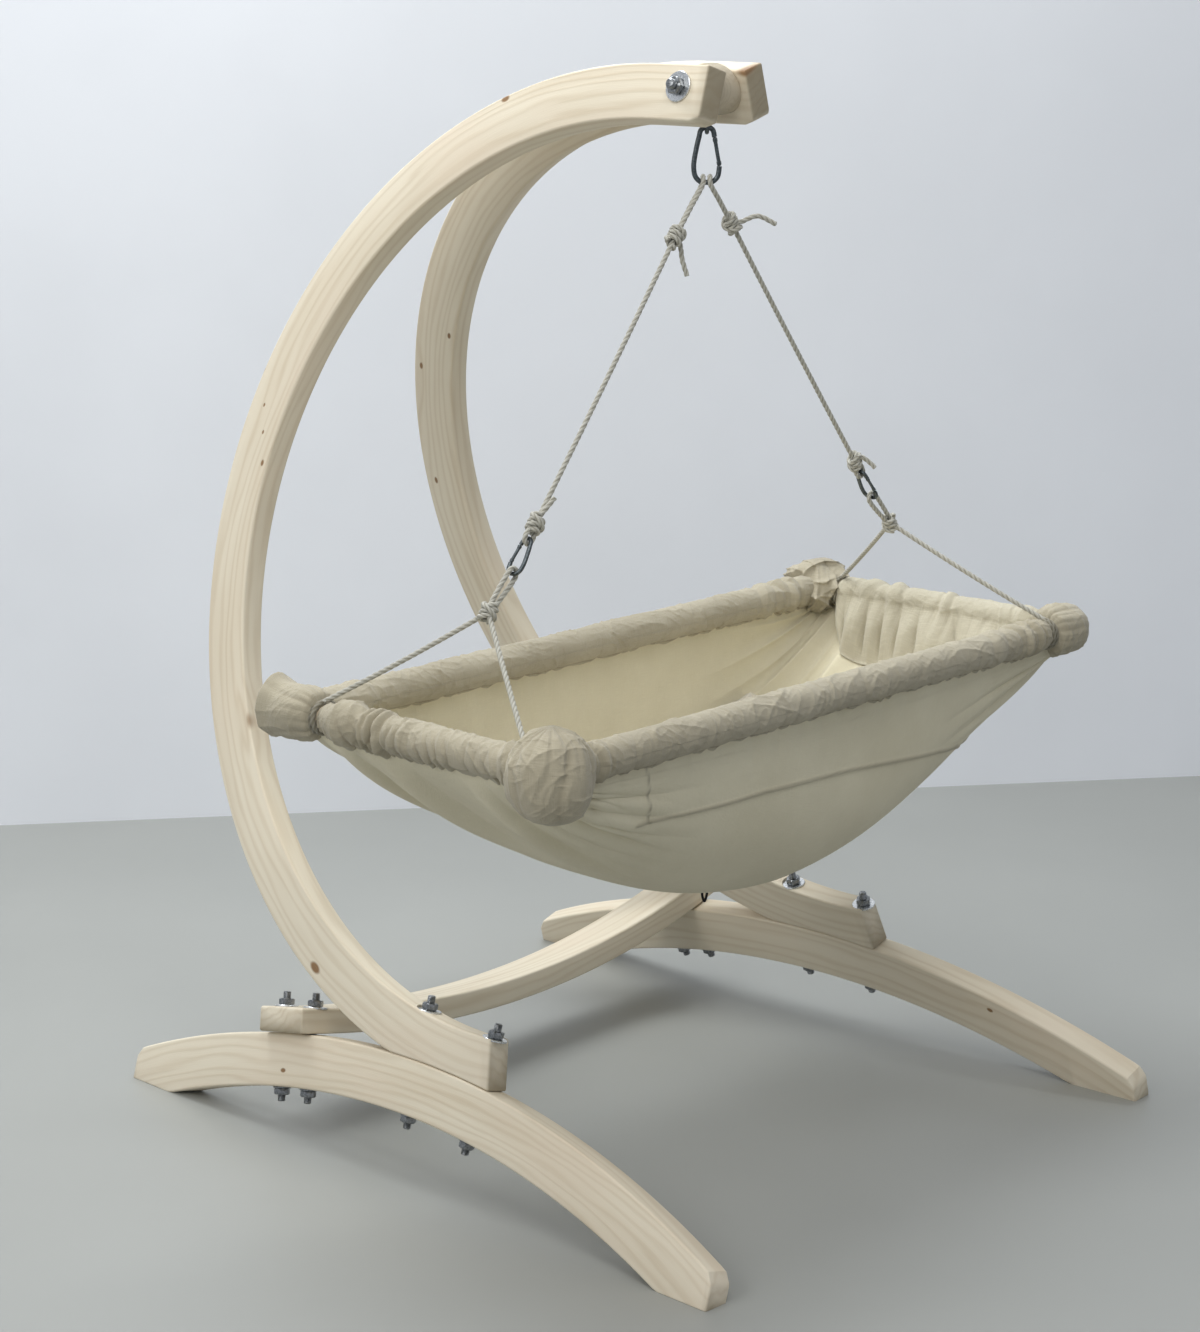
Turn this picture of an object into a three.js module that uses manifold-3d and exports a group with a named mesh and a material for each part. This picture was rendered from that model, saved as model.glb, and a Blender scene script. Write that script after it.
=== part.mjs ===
// Hanging baby cradle: two leaning C-shaped laminated arches on curved runners, joined by a
// sagging stretcher, carry a cloth basket on two knotted ropes and three carabiners.
// Millimetres, +Z up. X runs across the stand, the open side of the arches faces -Y,
// and the origin is on the floor under the middle of the whole.
import * as THREE from 'three';
import { mergeVertices } from 'three/addons/utils/BufferGeometryUtils.js';
import Module from 'manifold-3d';

const wasm = await Module();
wasm.setup();

// Driving dimensions of the stand. Both boards of a side lean in towards the middle, and
// their front ends stand a little wider than their rear ends.
const RUNNER_OUT = 400; // from the middle to a runner's plane on the floor
const RUNNER_SPLAY = THREE.MathUtils.degToRad(1.9);
const ARCH_OUT = 399.5;
const ARCH_SPLAY = THREE.MathUtils.degToRad(1.1);
const EXTRA_RUNNER_LEAN = THREE.MathUtils.degToRad(0.3); // a runner leans this much more than its arch
const BOARD_THICKNESS = 33;
const BOARD_DEPTH = 66;
const FLOOR_DROP = 1; // how far the runners' raw outline passes the floor before it is cut
const GAP = 0.3; // between pieces that touch

// Runner, a frown in the side's plane, cut upright at its tips and flat on the floor
const RUNNER_LENGTH = 1000;
const RUNNER_CROWN = 143; // top of the runner above the floor
const RUNNER_TIP_HEIGHT = 33.87; // where its top's curve ends
const RUNNER_TIP_ROUND = 10;

// Arch, a C with a straight top end
const ARCH_HEIGHT = 1338;
const ARCH_FOOT_SINK = 13; // the raw outer curve passes this far under the runner's crown
const ARCH_TOP_FRONT = 154; // front end of the straight top stretch
const ARCH_TOP_STRAIGHT = 82;
const ARCH_FOOT_FRONT = 121; // front end of the foot
const ARCH_FOOT_BEVEL = 12; // the foot's end leans back at its top by this much
const ARCH_END_ROUND = 9;

// Stretcher, a board bent down in the middle, lying on both runners behind the arches
const STRETCHER_WIDTH = 79;
const STRETCHER_THICKNESS = 31;
const STRETCHER_RADIUS = 1450; // of its lower face
const STRETCHER_BACK = 226; // its middle, behind the middle of the runner
const STRETCHER_OVERHANG = 15; // past the runners' outer faces

// Threaded fasteners of the runners
const STUD_DIAMETER = 10;
const NUT_ACROSS_FLATS = 17;
const NUT_HEIGHT = 8;
const WASHER_DIAMETER = 30;
const WASHER_THICKNESS = 2.5;
const STUD_TOP_END = 9;
const STUD_BOTTOM_END = 8;
const STUD_FLANGE_DIAMETER = 22;
const STUD_FLANGE_THICKNESS = 2;
const STRETCHER_STUD_SPACING = 50;
const FOOT_STUD_REAR = -12; // along the runner, forwards of its middle
const FOOT_STUD_FRONT = 97;
const HOLE_CLEARANCE = 0.35;

// Top joint: a round block between the arches, a bolt from each side and an eye below
const TOP_BOLT_FRONT = 115; // forwards of the middle
const TOP_BOLT_BELOW = 27; // under the arches' top face
const TOP_BOLT_DIAMETER = 12;
const TOP_HEAD_ACROSS_FLATS = 19;
const TOP_HEAD_HEIGHT = 8;
const TOP_BOLT_END = 7; // threaded end past the hexagon
const TOP_WASHER_DIAMETER = 36;
const BLOCK_DIAMETER = 60;
const TOP_HALF_SPACING = 35.93; // from the middle to an arch's plane, at the bolts
const TOP_BOLT_BITE = 9; // how far each bolt reaches into the block
const EYE_WIRE = 5;
const EYE_OUTER = 22;
const EYE_BELOW_BOLTS = 41; // centre of the eye's ring
const EYE_BEHIND_BOLTS = 4;
const HANGER_TURN = THREE.MathUtils.degToRad(-47); // the big carabiner's wide side

// Carabiners
const BIG_CARABINER = { height: 70, width: 36, wire: 6, top: 9 };
const SMALL_CARABINER = { height: 50, width: 25, wire: 5, top: 7 };
const GATE_THICKNESS_SHARE = 0.8; // of the carabiner's wire
const LOOSE_FIT = 0.9; // between a loop and the bar it hangs on

// Ropes
const ROPE_DIAMETER = 6;
const UPPER_KNOTS = { '-1': { x: -55, below: 59.5 }, 1: { x: 46, below: 50.5 } }; // under the big carabiner's foot
const LOWER_KNOT = { x: 292, above: 217 }; // over the middles of the basket's bars
const BRIDLE_KNOT = { x: 368, above: 128 };
const SMALL_CARABINER_FOOT = { x: 329, above: 166 };

// Basket
const BASKET_LENGTH = 947; // between the middles of the short bars
const BASKET_WIDTH = 391; // between the middles of the long bars
const BASKET_BAR_HEIGHT = 571;
const BAR_DIAMETER = 28;
const BAR_PAST_CORNER = 26;
const SLEEVE_DIAMETER = 46;
const SLEEVE_FOLD = 1.6; // height of the gathers on the sleeves
const SLEEVE_END = 46; // a sleeve stops this far from the crossing bar's middle
const LASHING_FROM_CORNER = 36; // where the rope's end is tied round a bar
const CORNER_CLEARANCE = 3; // beside the tied rope
const TROUGH_DEPTH = 240; // keel of the cloth under its upper edge
const CLOTH_THICKNESS = 3;
const END_FOLD = 5; // height of the folds under the short bars
const MATTRESS_THICKNESS = 40;
const HOOK_WIRE = 2.6;
const HOOK_WIDTH = 10;
const HOOK_DROP = 19;
const HOOK_SIDE = 15; // right of the middle

// Smoothness
const CHORD_ERROR = 0.4; // of an arc drawn with straight stretches
const FINE_CHORD_ERROR = 0.12; // where other pieces lie on it
const ROUND_SEGMENTS = 14;
const STUD_SEGMENTS = 10;
const BAR_SEGMENTS = 12;
const ROPE_SIDES = 8;
const SMALL_STEP = 0.01; // vertices closer than this are one

const MATERIALS = {
  pine: new THREE.MeshStandardMaterial({ color: 0xdccba6, roughness: 0.62, metalness: 0 }),
  darkPine: new THREE.MeshStandardMaterial({ color: 0xb9a37c, roughness: 0.66, metalness: 0 }),
  zinc: new THREE.MeshStandardMaterial({ color: 0xc9ccce, roughness: 0.34, metalness: 1 }),
  blackSteel: new THREE.MeshStandardMaterial({ color: 0x2b3134, roughness: 0.42, metalness: 1 }),
  rope: new THREE.MeshStandardMaterial({ color: 0xaea893, roughness: 0.92, metalness: 0 }),
  cloth: new THREE.MeshStandardMaterial({ color: 0xcabf9f, roughness: 0.95, metalness: 0 }),
  mattress: new THREE.MeshStandardMaterial({ color: 0xe2dac4, roughness: 0.95, metalness: 0 }),
};

// What follows from the sizes: circles of the boards, and the lean that lets the arches meet
const runnerHalf = RUNNER_LENGTH / 2;
const runnerRise = RUNNER_CROWN - RUNNER_TIP_HEIGHT;
const runnerTopRadius = (runnerHalf ** 2 + runnerRise ** 2) / (2 * runnerRise);
const archRadius = (ARCH_HEIGHT - RUNNER_CROWN + ARCH_FOOT_SINK) / 2;
const topBoltHeight = ARCH_HEIGHT - TOP_BOLT_BELOW;
const archLean = Math.asin((ARCH_OUT - TOP_HALF_SPACING) / topBoltHeight);
const runnerLean = archLean + EXTRA_RUNNER_LEAN;

// Solid helpers
function solidOf(geometry) {
  const bare = geometry.clone();
  bare.deleteAttribute('normal');
  bare.deleteAttribute('uv');
  const merged = mergeVertices(bare, SMALL_STEP);
  return new wasm.Manifold(
    new wasm.Mesh({
      numProp: 3,
      vertProperties: new Float32Array(merged.attributes.position.array),
      triVerts: new Uint32Array(merged.index.array),
    }),
  );
}

function geometryOf(solid) {
  const mesh = solid.getMesh();
  const geometry = new THREE.BufferGeometry();
  geometry.setAttribute('position', new THREE.BufferAttribute(new Float32Array(mesh.vertProperties), 3));
  geometry.setIndex(new THREE.BufferAttribute(new Uint32Array(mesh.triVerts), 1));
  return geometry;
}

function joined(geometries) {
  return geometryOf(geometries.map(solidOf).reduce((a, b) => a.add(b)));
}

function cut(geometry, tools) {
  let solid = solidOf(geometry);
  for (const tool of tools) {
    solid = solid.subtract(solidOf(tool));
  }
  return geometryOf(solid);
}

function piece(name, geometry, material) {
  const mesh = new THREE.Mesh(geometry, material);
  mesh.name = name;
  return mesh;
}

// Points of an arc in the plane of the outline, from one angle to another
function arcPoints(centre, radius, from, to, error = CHORD_ERROR) {
  const step = 2 * Math.acos(1 - error / radius);
  const count = Math.max(2, Math.ceil(Math.abs(to - from) / step));
  const points = [];
  for (let i = 0; i <= count; i += 1) {
    const angle = from + ((to - from) * i) / count;
    points.push(new THREE.Vector2(centre.x + radius * Math.cos(angle), centre.y + radius * Math.sin(angle)));
  }
  return points;
}

// A board: the outline in the side's plane, its thickness centred on that plane
function board(points, thickness) {
  const geometry = new THREE.ExtrudeGeometry(new THREE.Shape(points), {
    depth: thickness,
    bevelEnabled: false,
    steps: 1,
  });
  geometry.translate(0, 0, -thickness / 2);
  return geometry;
}

// A round bar along +Y, from y = from to y = to
function barAlongY(diameter, from, to, segments = ROUND_SEGMENTS) {
  const geometry = new THREE.CylinderGeometry(diameter / 2, diameter / 2, to - from, segments);
  geometry.translate(0, (from + to) / 2, 0);
  return geometry;
}

function hexAlongY(acrossFlats, from, to) {
  return barAlongY(acrossFlats / Math.cos(Math.PI / 6), from, to, 6);
}

// A flat ring round the Y axis
function washerAlongY(outer, bore, from, to) {
  const profile = [
    new THREE.Vector2(bore / 2, from),
    new THREE.Vector2(outer / 2, from),
    new THREE.Vector2(outer / 2, to),
    new THREE.Vector2(bore / 2, to),
    new THREE.Vector2(bore / 2, from),
  ];
  return new THREE.LatheGeometry(profile, ROUND_SEGMENTS);
}

function nutAlongY(acrossFlats, bore, from, to) {
  const overrun = to - from;
  return cut(hexAlongY(acrossFlats, from, to), [barAlongY(bore, from - overrun, to + overrun, STUD_SEGMENTS)]);
}

// A curve through the given points that has as many steps in a tight bend as on a long run
class Route extends THREE.CatmullRomCurve3 {
  getSpacedPoints(divisions) {
    return this.getPoints(divisions);
  }

  getTangentAt(share, target) {
    return this.getTangent(share, target);
  }
}

// A round wire or rope along a curve through the given points
function tube(points, diameter, stepsPerStretch, sides = ROPE_SIDES) {
  const section = new THREE.Shape(
    Array.from({ length: sides }, (_, i) => {
      const angle = (2 * Math.PI * i) / sides;
      return new THREE.Vector2((diameter / 2) * Math.cos(angle), (diameter / 2) * Math.sin(angle));
    }),
  );
  const path = new Route(points, false, 'centripetal');
  const steps = stepsPerStretch * (points.length - 1);
  return new THREE.ExtrudeGeometry(section, { steps, bevelEnabled: false, extrudePath: path });
}

// The two sides. A board's own axes: x forwards along it, y up in its leaning plane, z across
// it. On the left side z points outwards, on the right side inwards.
function makePlane(sign, lean, splay, out) {
  const plane = new THREE.Group();
  const forwards = new THREE.Vector3(0, -1, 0);
  const up = new THREE.Vector3(-sign * Math.sin(lean), 0, Math.cos(lean));
  const across = new THREE.Vector3().crossVectors(forwards, up);
  plane.quaternion.setFromRotationMatrix(new THREE.Matrix4().makeBasis(forwards, up, across));
  const turned = new THREE.Group();
  turned.position.x = sign * out;
  turned.rotation.z = sign * splay;
  turned.add(plane);
  turned.updateMatrixWorld(true);
  return { turned, plane };
}

function makeSide(sign) {
  return {
    sign,
    outwards: -sign,
    runner: makePlane(sign, runnerLean, RUNNER_SPLAY, RUNNER_OUT),
    arch: makePlane(sign, archLean, ARCH_SPLAY, ARCH_OUT),
  };
}

const sides = [makeSide(-1), makeSide(1)];
const sideNames = { '-1': 'left', 1: 'right' };

// Runner
const runnerCentre = new THREE.Vector2(0, RUNNER_CROWN - runnerTopRadius);
const runnerBottomRadius = runnerTopRadius - BOARD_DEPTH;

function runnerHeight(along, radius = runnerTopRadius) {
  return runnerCentre.y + Math.sqrt(radius * radius - along * along);
}

function runnerOutline() {
  const half = runnerHalf;
  const topHalf = Math.asin((half - RUNNER_TIP_ROUND) / runnerTopRadius);
  const upright = Math.PI / 2;
  const top = arcPoints(runnerCentre, runnerTopRadius, upright - topHalf, upright + topHalf, FINE_CHORD_ERROR);
  const tipTop = runnerHeight(half - RUNNER_TIP_ROUND) - RUNNER_TIP_ROUND;
  const floorLevel = -(BOARD_THICKNESS / 2) * Math.tan(runnerLean) - FLOOR_DROP;
  const soleHalf = Math.sqrt(runnerBottomRadius ** 2 - (floorLevel - runnerCentre.y) ** 2);
  const soleAngle = Math.asin(soleHalf / runnerBottomRadius);
  const radius = runnerBottomRadius;
  const bottom = arcPoints(runnerCentre, radius, upright + soleAngle, upright - soleAngle, FINE_CHORD_ERROR);
  return [
    ...top,
    new THREE.Vector2(-half, tipTop),
    new THREE.Vector2(-half, floorLevel),
    ...bottom,
    new THREE.Vector2(half, floorLevel),
    new THREE.Vector2(half, tipTop),
  ];
}

// Everything under the floor, in the side's own axes
function belowFloor(side) {
  const tool = new THREE.BoxGeometry(RUNNER_LENGTH * 2, BOARD_DEPTH, BOARD_DEPTH * 2);
  tool.translate(0, -BOARD_DEPTH / 2, 0);
  tool.rotateX(side.outwards * runnerLean);
  return tool;
}

// Studs of one side: where each stands on the runner's top and what it goes through
function studPlaces() {
  const half = STRETCHER_STUD_SPACING / 2;
  return [
    { name: 'stretcher_rear', along: -STRETCHER_BACK - half, over: 'stretcher' },
    { name: 'stretcher_front', along: -STRETCHER_BACK + half, over: 'stretcher' },
    { name: 'foot_rear', along: FOOT_STUD_REAR, over: 'foot' },
    { name: 'foot_front', along: FOOT_STUD_FRONT, over: 'foot' },
  ];
}

// Arch
const archCentre = new THREE.Vector2(ARCH_TOP_FRONT - ARCH_TOP_STRAIGHT, ARCH_HEIGHT - archRadius);
const archInnerRadius = archRadius - BOARD_DEPTH;

function footTop(along) {
  return archCentre.y - Math.sqrt(archInnerRadius ** 2 - (along - archCentre.x) ** 2);
}

function archOutline() {
  const inside = ARCH_HEIGHT - BOARD_DEPTH;
  const angle = (radius, along) => 1.5 * Math.PI + Math.asin((along - archCentre.x) / radius);
  const footBack = ARCH_FOOT_FRONT - ARCH_FOOT_BEVEL;
  return [
    new THREE.Vector2(ARCH_TOP_FRONT - ARCH_END_ROUND, inside),
    new THREE.Vector2(ARCH_TOP_FRONT, inside + ARCH_END_ROUND),
    new THREE.Vector2(ARCH_TOP_FRONT, ARCH_HEIGHT),
    ...arcPoints(archCentre, archRadius, Math.PI / 2, angle(archRadius, ARCH_FOOT_FRONT)),
    ...arcPoints(archCentre, archInnerRadius, angle(archInnerRadius, footBack), Math.PI / 2),
  ];
}

// The runner's body a gap larger, which the arch's foot is cut to sit on
function runnerSeat() {
  const top = runnerTopRadius + GAP;
  const half = Math.asin((STRETCHER_BACK + STRETCHER_WIDTH) / runnerTopRadius);
  const points = arcPoints(runnerCentre, top, Math.PI / 2 - half, Math.PI / 2 + half, FINE_CHORD_ERROR);
  points.push(new THREE.Vector2(points[points.length - 1].x, 0), new THREE.Vector2(points[0].x, 0));
  return board(points, BOARD_THICKNESS * 2);
}

// A frame on the runner's top with its y axis square to the runner
function onRunner(along) {
  const angle = Math.asin(along / runnerTopRadius);
  return new THREE.Matrix4()
    .makeTranslation(along, runnerHeight(along), 0)
    .multiply(new THREE.Matrix4().makeRotationZ(-angle));
}

// Height of a foot stud's washer seat over the runner's top, low enough for the whole washer
function footSeat(along) {
  const angle = Math.asin(along / runnerTopRadius);
  const reach = WASHER_DIAMETER / 2 + GAP;
  let lowest = Infinity;
  for (const offset of [-reach, 0, reach]) {
    const surface = footTop(along + offset);
    const level = surface - runnerHeight(along) + offset * Math.tan(angle);
    lowest = Math.min(lowest, level * Math.cos(angle));
  }
  return lowest - GAP;
}

function studHole(stud) {
  const reach = BOARD_DEPTH * 3;
  return barAlongY(STUD_DIAMETER + 2 * HOLE_CLEARANCE, -reach, reach, STUD_SEGMENTS).applyMatrix4(onRunner(stud.along));
}

function studSeat(stud) {
  return stud.over === 'foot' ? footSeat(stud.along) : STRETCHER_THICKNESS;
}

// The flat under a stud's washer, cut into the wood
function washerPocket(stud) {
  const seat = studSeat(stud);
  return barAlongY(WASHER_DIAMETER + 2 * GAP, seat, seat + BOARD_DEPTH).applyMatrix4(onRunner(stud.along));
}

function makeSidePieces(side) {
  const name = sideNames[side.sign];
  const toArch = side.arch.plane.matrixWorld.clone().invert().multiply(side.runner.plane.matrixWorld);
  const archCuts = [runnerSeat()];
  for (const stud of studPlaces().filter((place) => place.over === 'foot')) {
    archCuts.push(studHole(stud), washerPocket(stud));
  }
  for (const tool of archCuts) {
    tool.applyMatrix4(toArch);
  }
  const topHole = barAlongY(TOP_BOLT_DIAMETER + 2 * HOLE_CLEARANCE, -BOARD_DEPTH, BOARD_DEPTH, STUD_SEGMENTS);
  topHole.rotateX(Math.PI / 2);
  topHole.translate(TOP_BOLT_FRONT, topBoltHeight, 0);
  archCuts.push(topHole);

  const runnerCuts = [belowFloor(side), ...studPlaces().map(studHole)];
  const runner = cut(board(runnerOutline(), BOARD_THICKNESS), runnerCuts);
  side.runner.plane.add(piece(`runner_${name}`, runner, MATERIALS.pine));
  side.arch.plane.add(piece(`arch_${name}`, cut(board(archOutline(), BOARD_THICKNESS), archCuts), MATERIALS.pine));
  for (const stud of studPlaces()) {
    side.runner.plane.add(...makeStud(`${name}_${stud.name}`, stud.along, studSeat(stud)));
  }
  side.arch.plane.add(...makeTopBolt(side, name));
}

// A stud with its lower nut, and the washer and nut on top
function makeStud(name, along, seat) {
  const washerFrom = seat + GAP;
  const nutFrom = washerFrom + WASHER_THICKNESS + GAP;
  const nutTo = nutFrom + NUT_HEIGHT;
  const under = -BOARD_DEPTH - GAP;
  const flangeTo = under - STUD_FLANGE_THICKNESS;
  const lowerNutTo = flangeTo - NUT_HEIGHT;
  const bore = STUD_DIAMETER + 2 * GAP;
  const stud = joined([
    barAlongY(STUD_DIAMETER, lowerNutTo - STUD_BOTTOM_END, nutTo + STUD_TOP_END, STUD_SEGMENTS),
    barAlongY(STUD_FLANGE_DIAMETER, flangeTo, under),
    hexAlongY(NUT_ACROSS_FLATS, lowerNutTo, flangeTo),
  ]);
  const parts = [
    piece(`stud_${name}`, stud, MATERIALS.zinc),
    piece(`washer_${name}`, washerAlongY(WASHER_DIAMETER, bore, washerFrom, washerFrom + WASHER_THICKNESS), MATERIALS.zinc),
    piece(`nut_${name}`, nutAlongY(NUT_ACROSS_FLATS, bore, nutFrom, nutTo), MATERIALS.zinc),
  ];
  for (const part of parts) {
    part.applyMatrix4(onRunner(along));
  }
  return parts;
}

// A bolt through the arch's top into the block, with its washer on the arch's outer face
function makeTopBolt(side, name) {
  const face = BOARD_THICKNESS / 2;
  const washerFrom = face + GAP;
  const washerTo = washerFrom + WASHER_THICKNESS;
  const headFrom = washerTo + GAP;
  const bolt = joined([
    barAlongY(TOP_BOLT_DIAMETER, -face - TOP_BOLT_BITE, headFrom + TOP_HEAD_HEIGHT + TOP_BOLT_END, STUD_SEGMENTS),
    hexAlongY(TOP_HEAD_ACROSS_FLATS, headFrom, headFrom + TOP_HEAD_HEIGHT),
  ]);
  const washer = washerAlongY(TOP_WASHER_DIAMETER, TOP_BOLT_DIAMETER + 2 * GAP, washerFrom, washerTo);
  const parts = [piece(`top_bolt_${name}`, bolt, MATERIALS.zinc), piece(`top_washer_${name}`, washer, MATERIALS.zinc)];
  for (const part of parts) {
    part.position.set(TOP_BOLT_FRONT, topBoltHeight, 0);
    part.rotation.x = side.outwards * (Math.PI / 2);
  }
  return parts;
}

for (const side of sides) {
  makeSidePieces(side);
}

// Where the hanging axis meets the block: on the line between the two bolts
function toWorld({ plane }, along, up) {
  return plane.localToWorld(new THREE.Vector3(along, up, 0));
}

const boltInner = toWorld(sides[0].arch, TOP_BOLT_FRONT, topBoltHeight);
const blockCentre = new THREE.Vector3(0, boltInner.y, boltInner.z);

// Block: a round disc with its two faces on the leaning arches, cut by the bolts
function makeBlock() {
  const disc = barAlongY(BLOCK_DIAMETER, -BLOCK_DIAMETER, BLOCK_DIAMETER, 2 * BAR_SEGMENTS);
  disc.rotateZ(Math.PI / 2);
  disc.translate(blockCentre.x, blockCentre.y, blockCentre.z);
  const tools = [];
  for (const side of sides) {
    const inner = side.outwards * (-BOARD_THICKNESS / 2 - GAP);
    const away = new THREE.BoxGeometry(BLOCK_DIAMETER * 4, BLOCK_DIAMETER * 4, BLOCK_DIAMETER * 4);
    away.translate(TOP_BOLT_FRONT, topBoltHeight, inner + side.outwards * BLOCK_DIAMETER * 2);
    const bore = barAlongY(TOP_BOLT_DIAMETER + 2 * HOLE_CLEARANCE, -BOARD_THICKNESS / 2 - TOP_BOLT_BITE - GAP, 0, STUD_SEGMENTS);
    bore.rotateX(side.outwards * (Math.PI / 2));
    bore.translate(TOP_BOLT_FRONT, topBoltHeight, 0);
    tools.push(away.applyMatrix4(side.arch.plane.matrixWorld), bore.applyMatrix4(side.arch.plane.matrixWorld));
  }
  const shank = barAlongY(EYE_WIRE + 2 * GAP, -BLOCK_DIAMETER, -eyeBite + GAP, STUD_SEGMENTS);
  shank.rotateX(Math.PI / 2);
  shank.translate(blockCentre.x, blockCentre.y + EYE_BEHIND_BOLTS, blockCentre.z);
  tools.push(shank);
  return cut(disc, tools);
}

const eyeBite = BLOCK_DIAMETER / 4; // how far under the bolts the eye's shank ends
const eyeRadius = (EYE_OUTER - EYE_WIRE) / 2;

// Eye: a ring on a shank that goes up into the block
function makeEye() {
  const ring = new THREE.TorusGeometry(eyeRadius, EYE_WIRE / 2, ROPE_SIDES, ROUND_SEGMENTS);
  const shank = barAlongY(EYE_WIRE, eyeRadius, EYE_BELOW_BOLTS - eyeBite, STUD_SEGMENTS);
  const eye = joined([ring, shank]);
  eye.rotateX(Math.PI / 2);
  eye.rotateZ(HANGER_TURN + Math.PI / 2);
  return eye;
}

const root = new THREE.Group();
for (const side of sides) {
  root.add(side.runner.turned, side.arch.turned);
}
root.add(piece('top_block', makeBlock(), MATERIALS.darkPine));
const eyeCentre = new THREE.Vector3(0, blockCentre.y + EYE_BEHIND_BOLTS, blockCentre.z - EYE_BELOW_BOLTS);
const eye = piece('hanger_eye', makeEye(), MATERIALS.blackSteel);
eye.position.copy(eyeCentre);
root.add(eye);

// Stretcher: an arc down between the runners, tilted to lie along their tops
const stretcherSlope = Math.asin(STRETCHER_BACK / runnerTopRadius);

function makeStretcher() {
  const seat = toWorld(sides[1].runner, -STRETCHER_BACK, runnerHeight(-STRETCHER_BACK));
  const lowerRadius = STRETCHER_RADIUS;
  const upperRadius = lowerRadius - STRETCHER_THICKNESS;
  const seatAngle = Math.asin(seat.x / lowerRadius);
  const lift = 2 * GAP + (BOARD_THICKNESS / 2) * Math.tan(Math.abs(runnerLean - seatAngle));
  const centre = new THREE.Vector2(0, lowerRadius * Math.cos(seatAngle));
  const end = seatAngle + (BOARD_THICKNESS / 2 + STRETCHER_OVERHANG) / lowerRadius;
  const down = -Math.PI / 2;
  const outline = [
    ...arcPoints(centre, lowerRadius, down - end, down + end, 2 * FINE_CHORD_ERROR),
    ...arcPoints(centre, upperRadius, down + end, down - end, 2 * FINE_CHORD_ERROR),
  ];
  const geometry = board(outline, STRETCHER_WIDTH);
  geometry.rotateX(Math.PI / 2);
  geometry.rotateX(-stretcherSlope);
  geometry.translate(0, seat.y, seat.z + lift);
  const tools = [];
  for (const side of sides) {
    for (const stud of studPlaces().filter((place) => place.over === 'stretcher')) {
      const cuts = [studHole(stud), washerPocket(stud)];
      tools.push(...cuts.map((tool) => tool.applyMatrix4(side.runner.plane.matrixWorld)));
    }
  }
  return cut(geometry, tools);
}

root.add(piece('stretcher', makeStretcher(), MATERIALS.pine));

// Carabiners: a pear of wire, closed on one side by a straight gate. Own axes: the pear hangs
// down -Y from the middle of its top bend at the origin, its gate is on the +X side.
// Each row: share of the lower half width, share of the top bend, and the same two for height
const PEAR_SHARES = [
  [1, 0, 1.25, 0, 1],
  [0.86, 0, 0.45, 0, 1],
  [0.45, 0, 0.05, 0, 1],
  [0, 0, 0, 0, 1],
  [-0.45, 0, 0.05, 0, 1],
  [-0.86, 0, 0.45, 0, 1],
  [-1, 0, 1.25, 0, 1],
  [-0.5, -0.5, 0.5, 0, 0.5],
  [0, -1, 0, -1.3, 0],
  [0, -0.75, 0, -0.4, 0],
  [0, 0, 0, 0, 0],
  [0, 0.75, 0, -0.4, 0],
  [0, 1, 0, -1.3, 0],
];

function pearPoints(size) {
  const half = (size.width - size.wire) / 2;
  const low = -(size.height - size.wire);
  return PEAR_SHARES.map(
    ([halfShare, topShare, riseShare, dropShare, lowShare]) =>
      new THREE.Vector3(
        halfShare * half + topShare * size.top,
        riseShare * half + dropShare * size.top + lowShare * low,
        0,
      ),
  );
}

function makeCarabiner(name, size, gateName) {
  const points = pearPoints(size);
  const body = tube(points, size.wire, 2);
  const foot = points[0];
  const head = points[points.length - 1];
  const along = new THREE.Vector3().subVectors(head, foot);
  const length = along.length();
  const spare = size.wire / 4 + GAP; // clears the body's slanting ends
  const gate = barAlongY(size.wire * GATE_THICKNESS_SHARE, spare, length - spare, ROPE_SIDES);
  gate.applyQuaternion(new THREE.Quaternion().setFromUnitVectors(new THREE.Vector3(0, 1, 0), along.clone().normalize()));
  gate.translate(foot.x, foot.y, foot.z);
  const group = new THREE.Group();
  group.add(piece(name, body, MATERIALS.blackSteel), piece(gateName, gate, MATERIALS.blackSteel));
  return group;
}

// The big carabiner hangs in the eye with its wide side turned
const bigTop = eyeCentre.z - eyeRadius + EYE_WIRE / 2 + BIG_CARABINER.wire / 2 + LOOSE_FIT;
const bigFoot = bigTop - (BIG_CARABINER.height - BIG_CARABINER.wire);
const big = makeCarabiner('big_carabiner', BIG_CARABINER, 'big_gate');
const bigHolder = new THREE.Group();
big.rotation.x = Math.PI / 2;
bigHolder.add(big);
bigHolder.rotation.z = HANGER_TURN;
bigHolder.position.set(0, eyeCentre.y, bigTop);
root.add(bigHolder);

// Ropes. A knot is a bundle with the turns of the rope as slanting ridges, and a tail leaves it.
const KNOT_SIZE = 12.5;
const KNOT_SHARES = { radius: 0.8, length: 1.15, ridge: 0.17 };
const KNOT_TURNS = 2;
const KNOT_SLANT = 4;

function knot(centre, direction) {
  const turned = new THREE.Quaternion().setFromUnitVectors(new THREE.Vector3(0, 1, 0), direction.clone().normalize());
  const bundle = new THREE.SphereGeometry(1, 8, 6);
  const place = bundle.attributes.position;
  for (let i = 0; i < place.count; i += 1) {
    const point = new THREE.Vector3().fromBufferAttribute(place, i);
    const around = Math.atan2(point.z, point.x);
    const ridge = 1 + KNOT_SHARES.ridge * Math.cos(KNOT_TURNS * around + KNOT_SLANT * point.y) * (1 - point.y ** 2);
    const radius = KNOT_SIZE * KNOT_SHARES.radius * ridge;
    place.setXYZ(i, point.x * radius, point.y * KNOT_SIZE * KNOT_SHARES.length, point.z * radius);
  }
  return [bundle.applyQuaternion(turned).translate(centre.x, centre.y, centre.z)];
}

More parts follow.
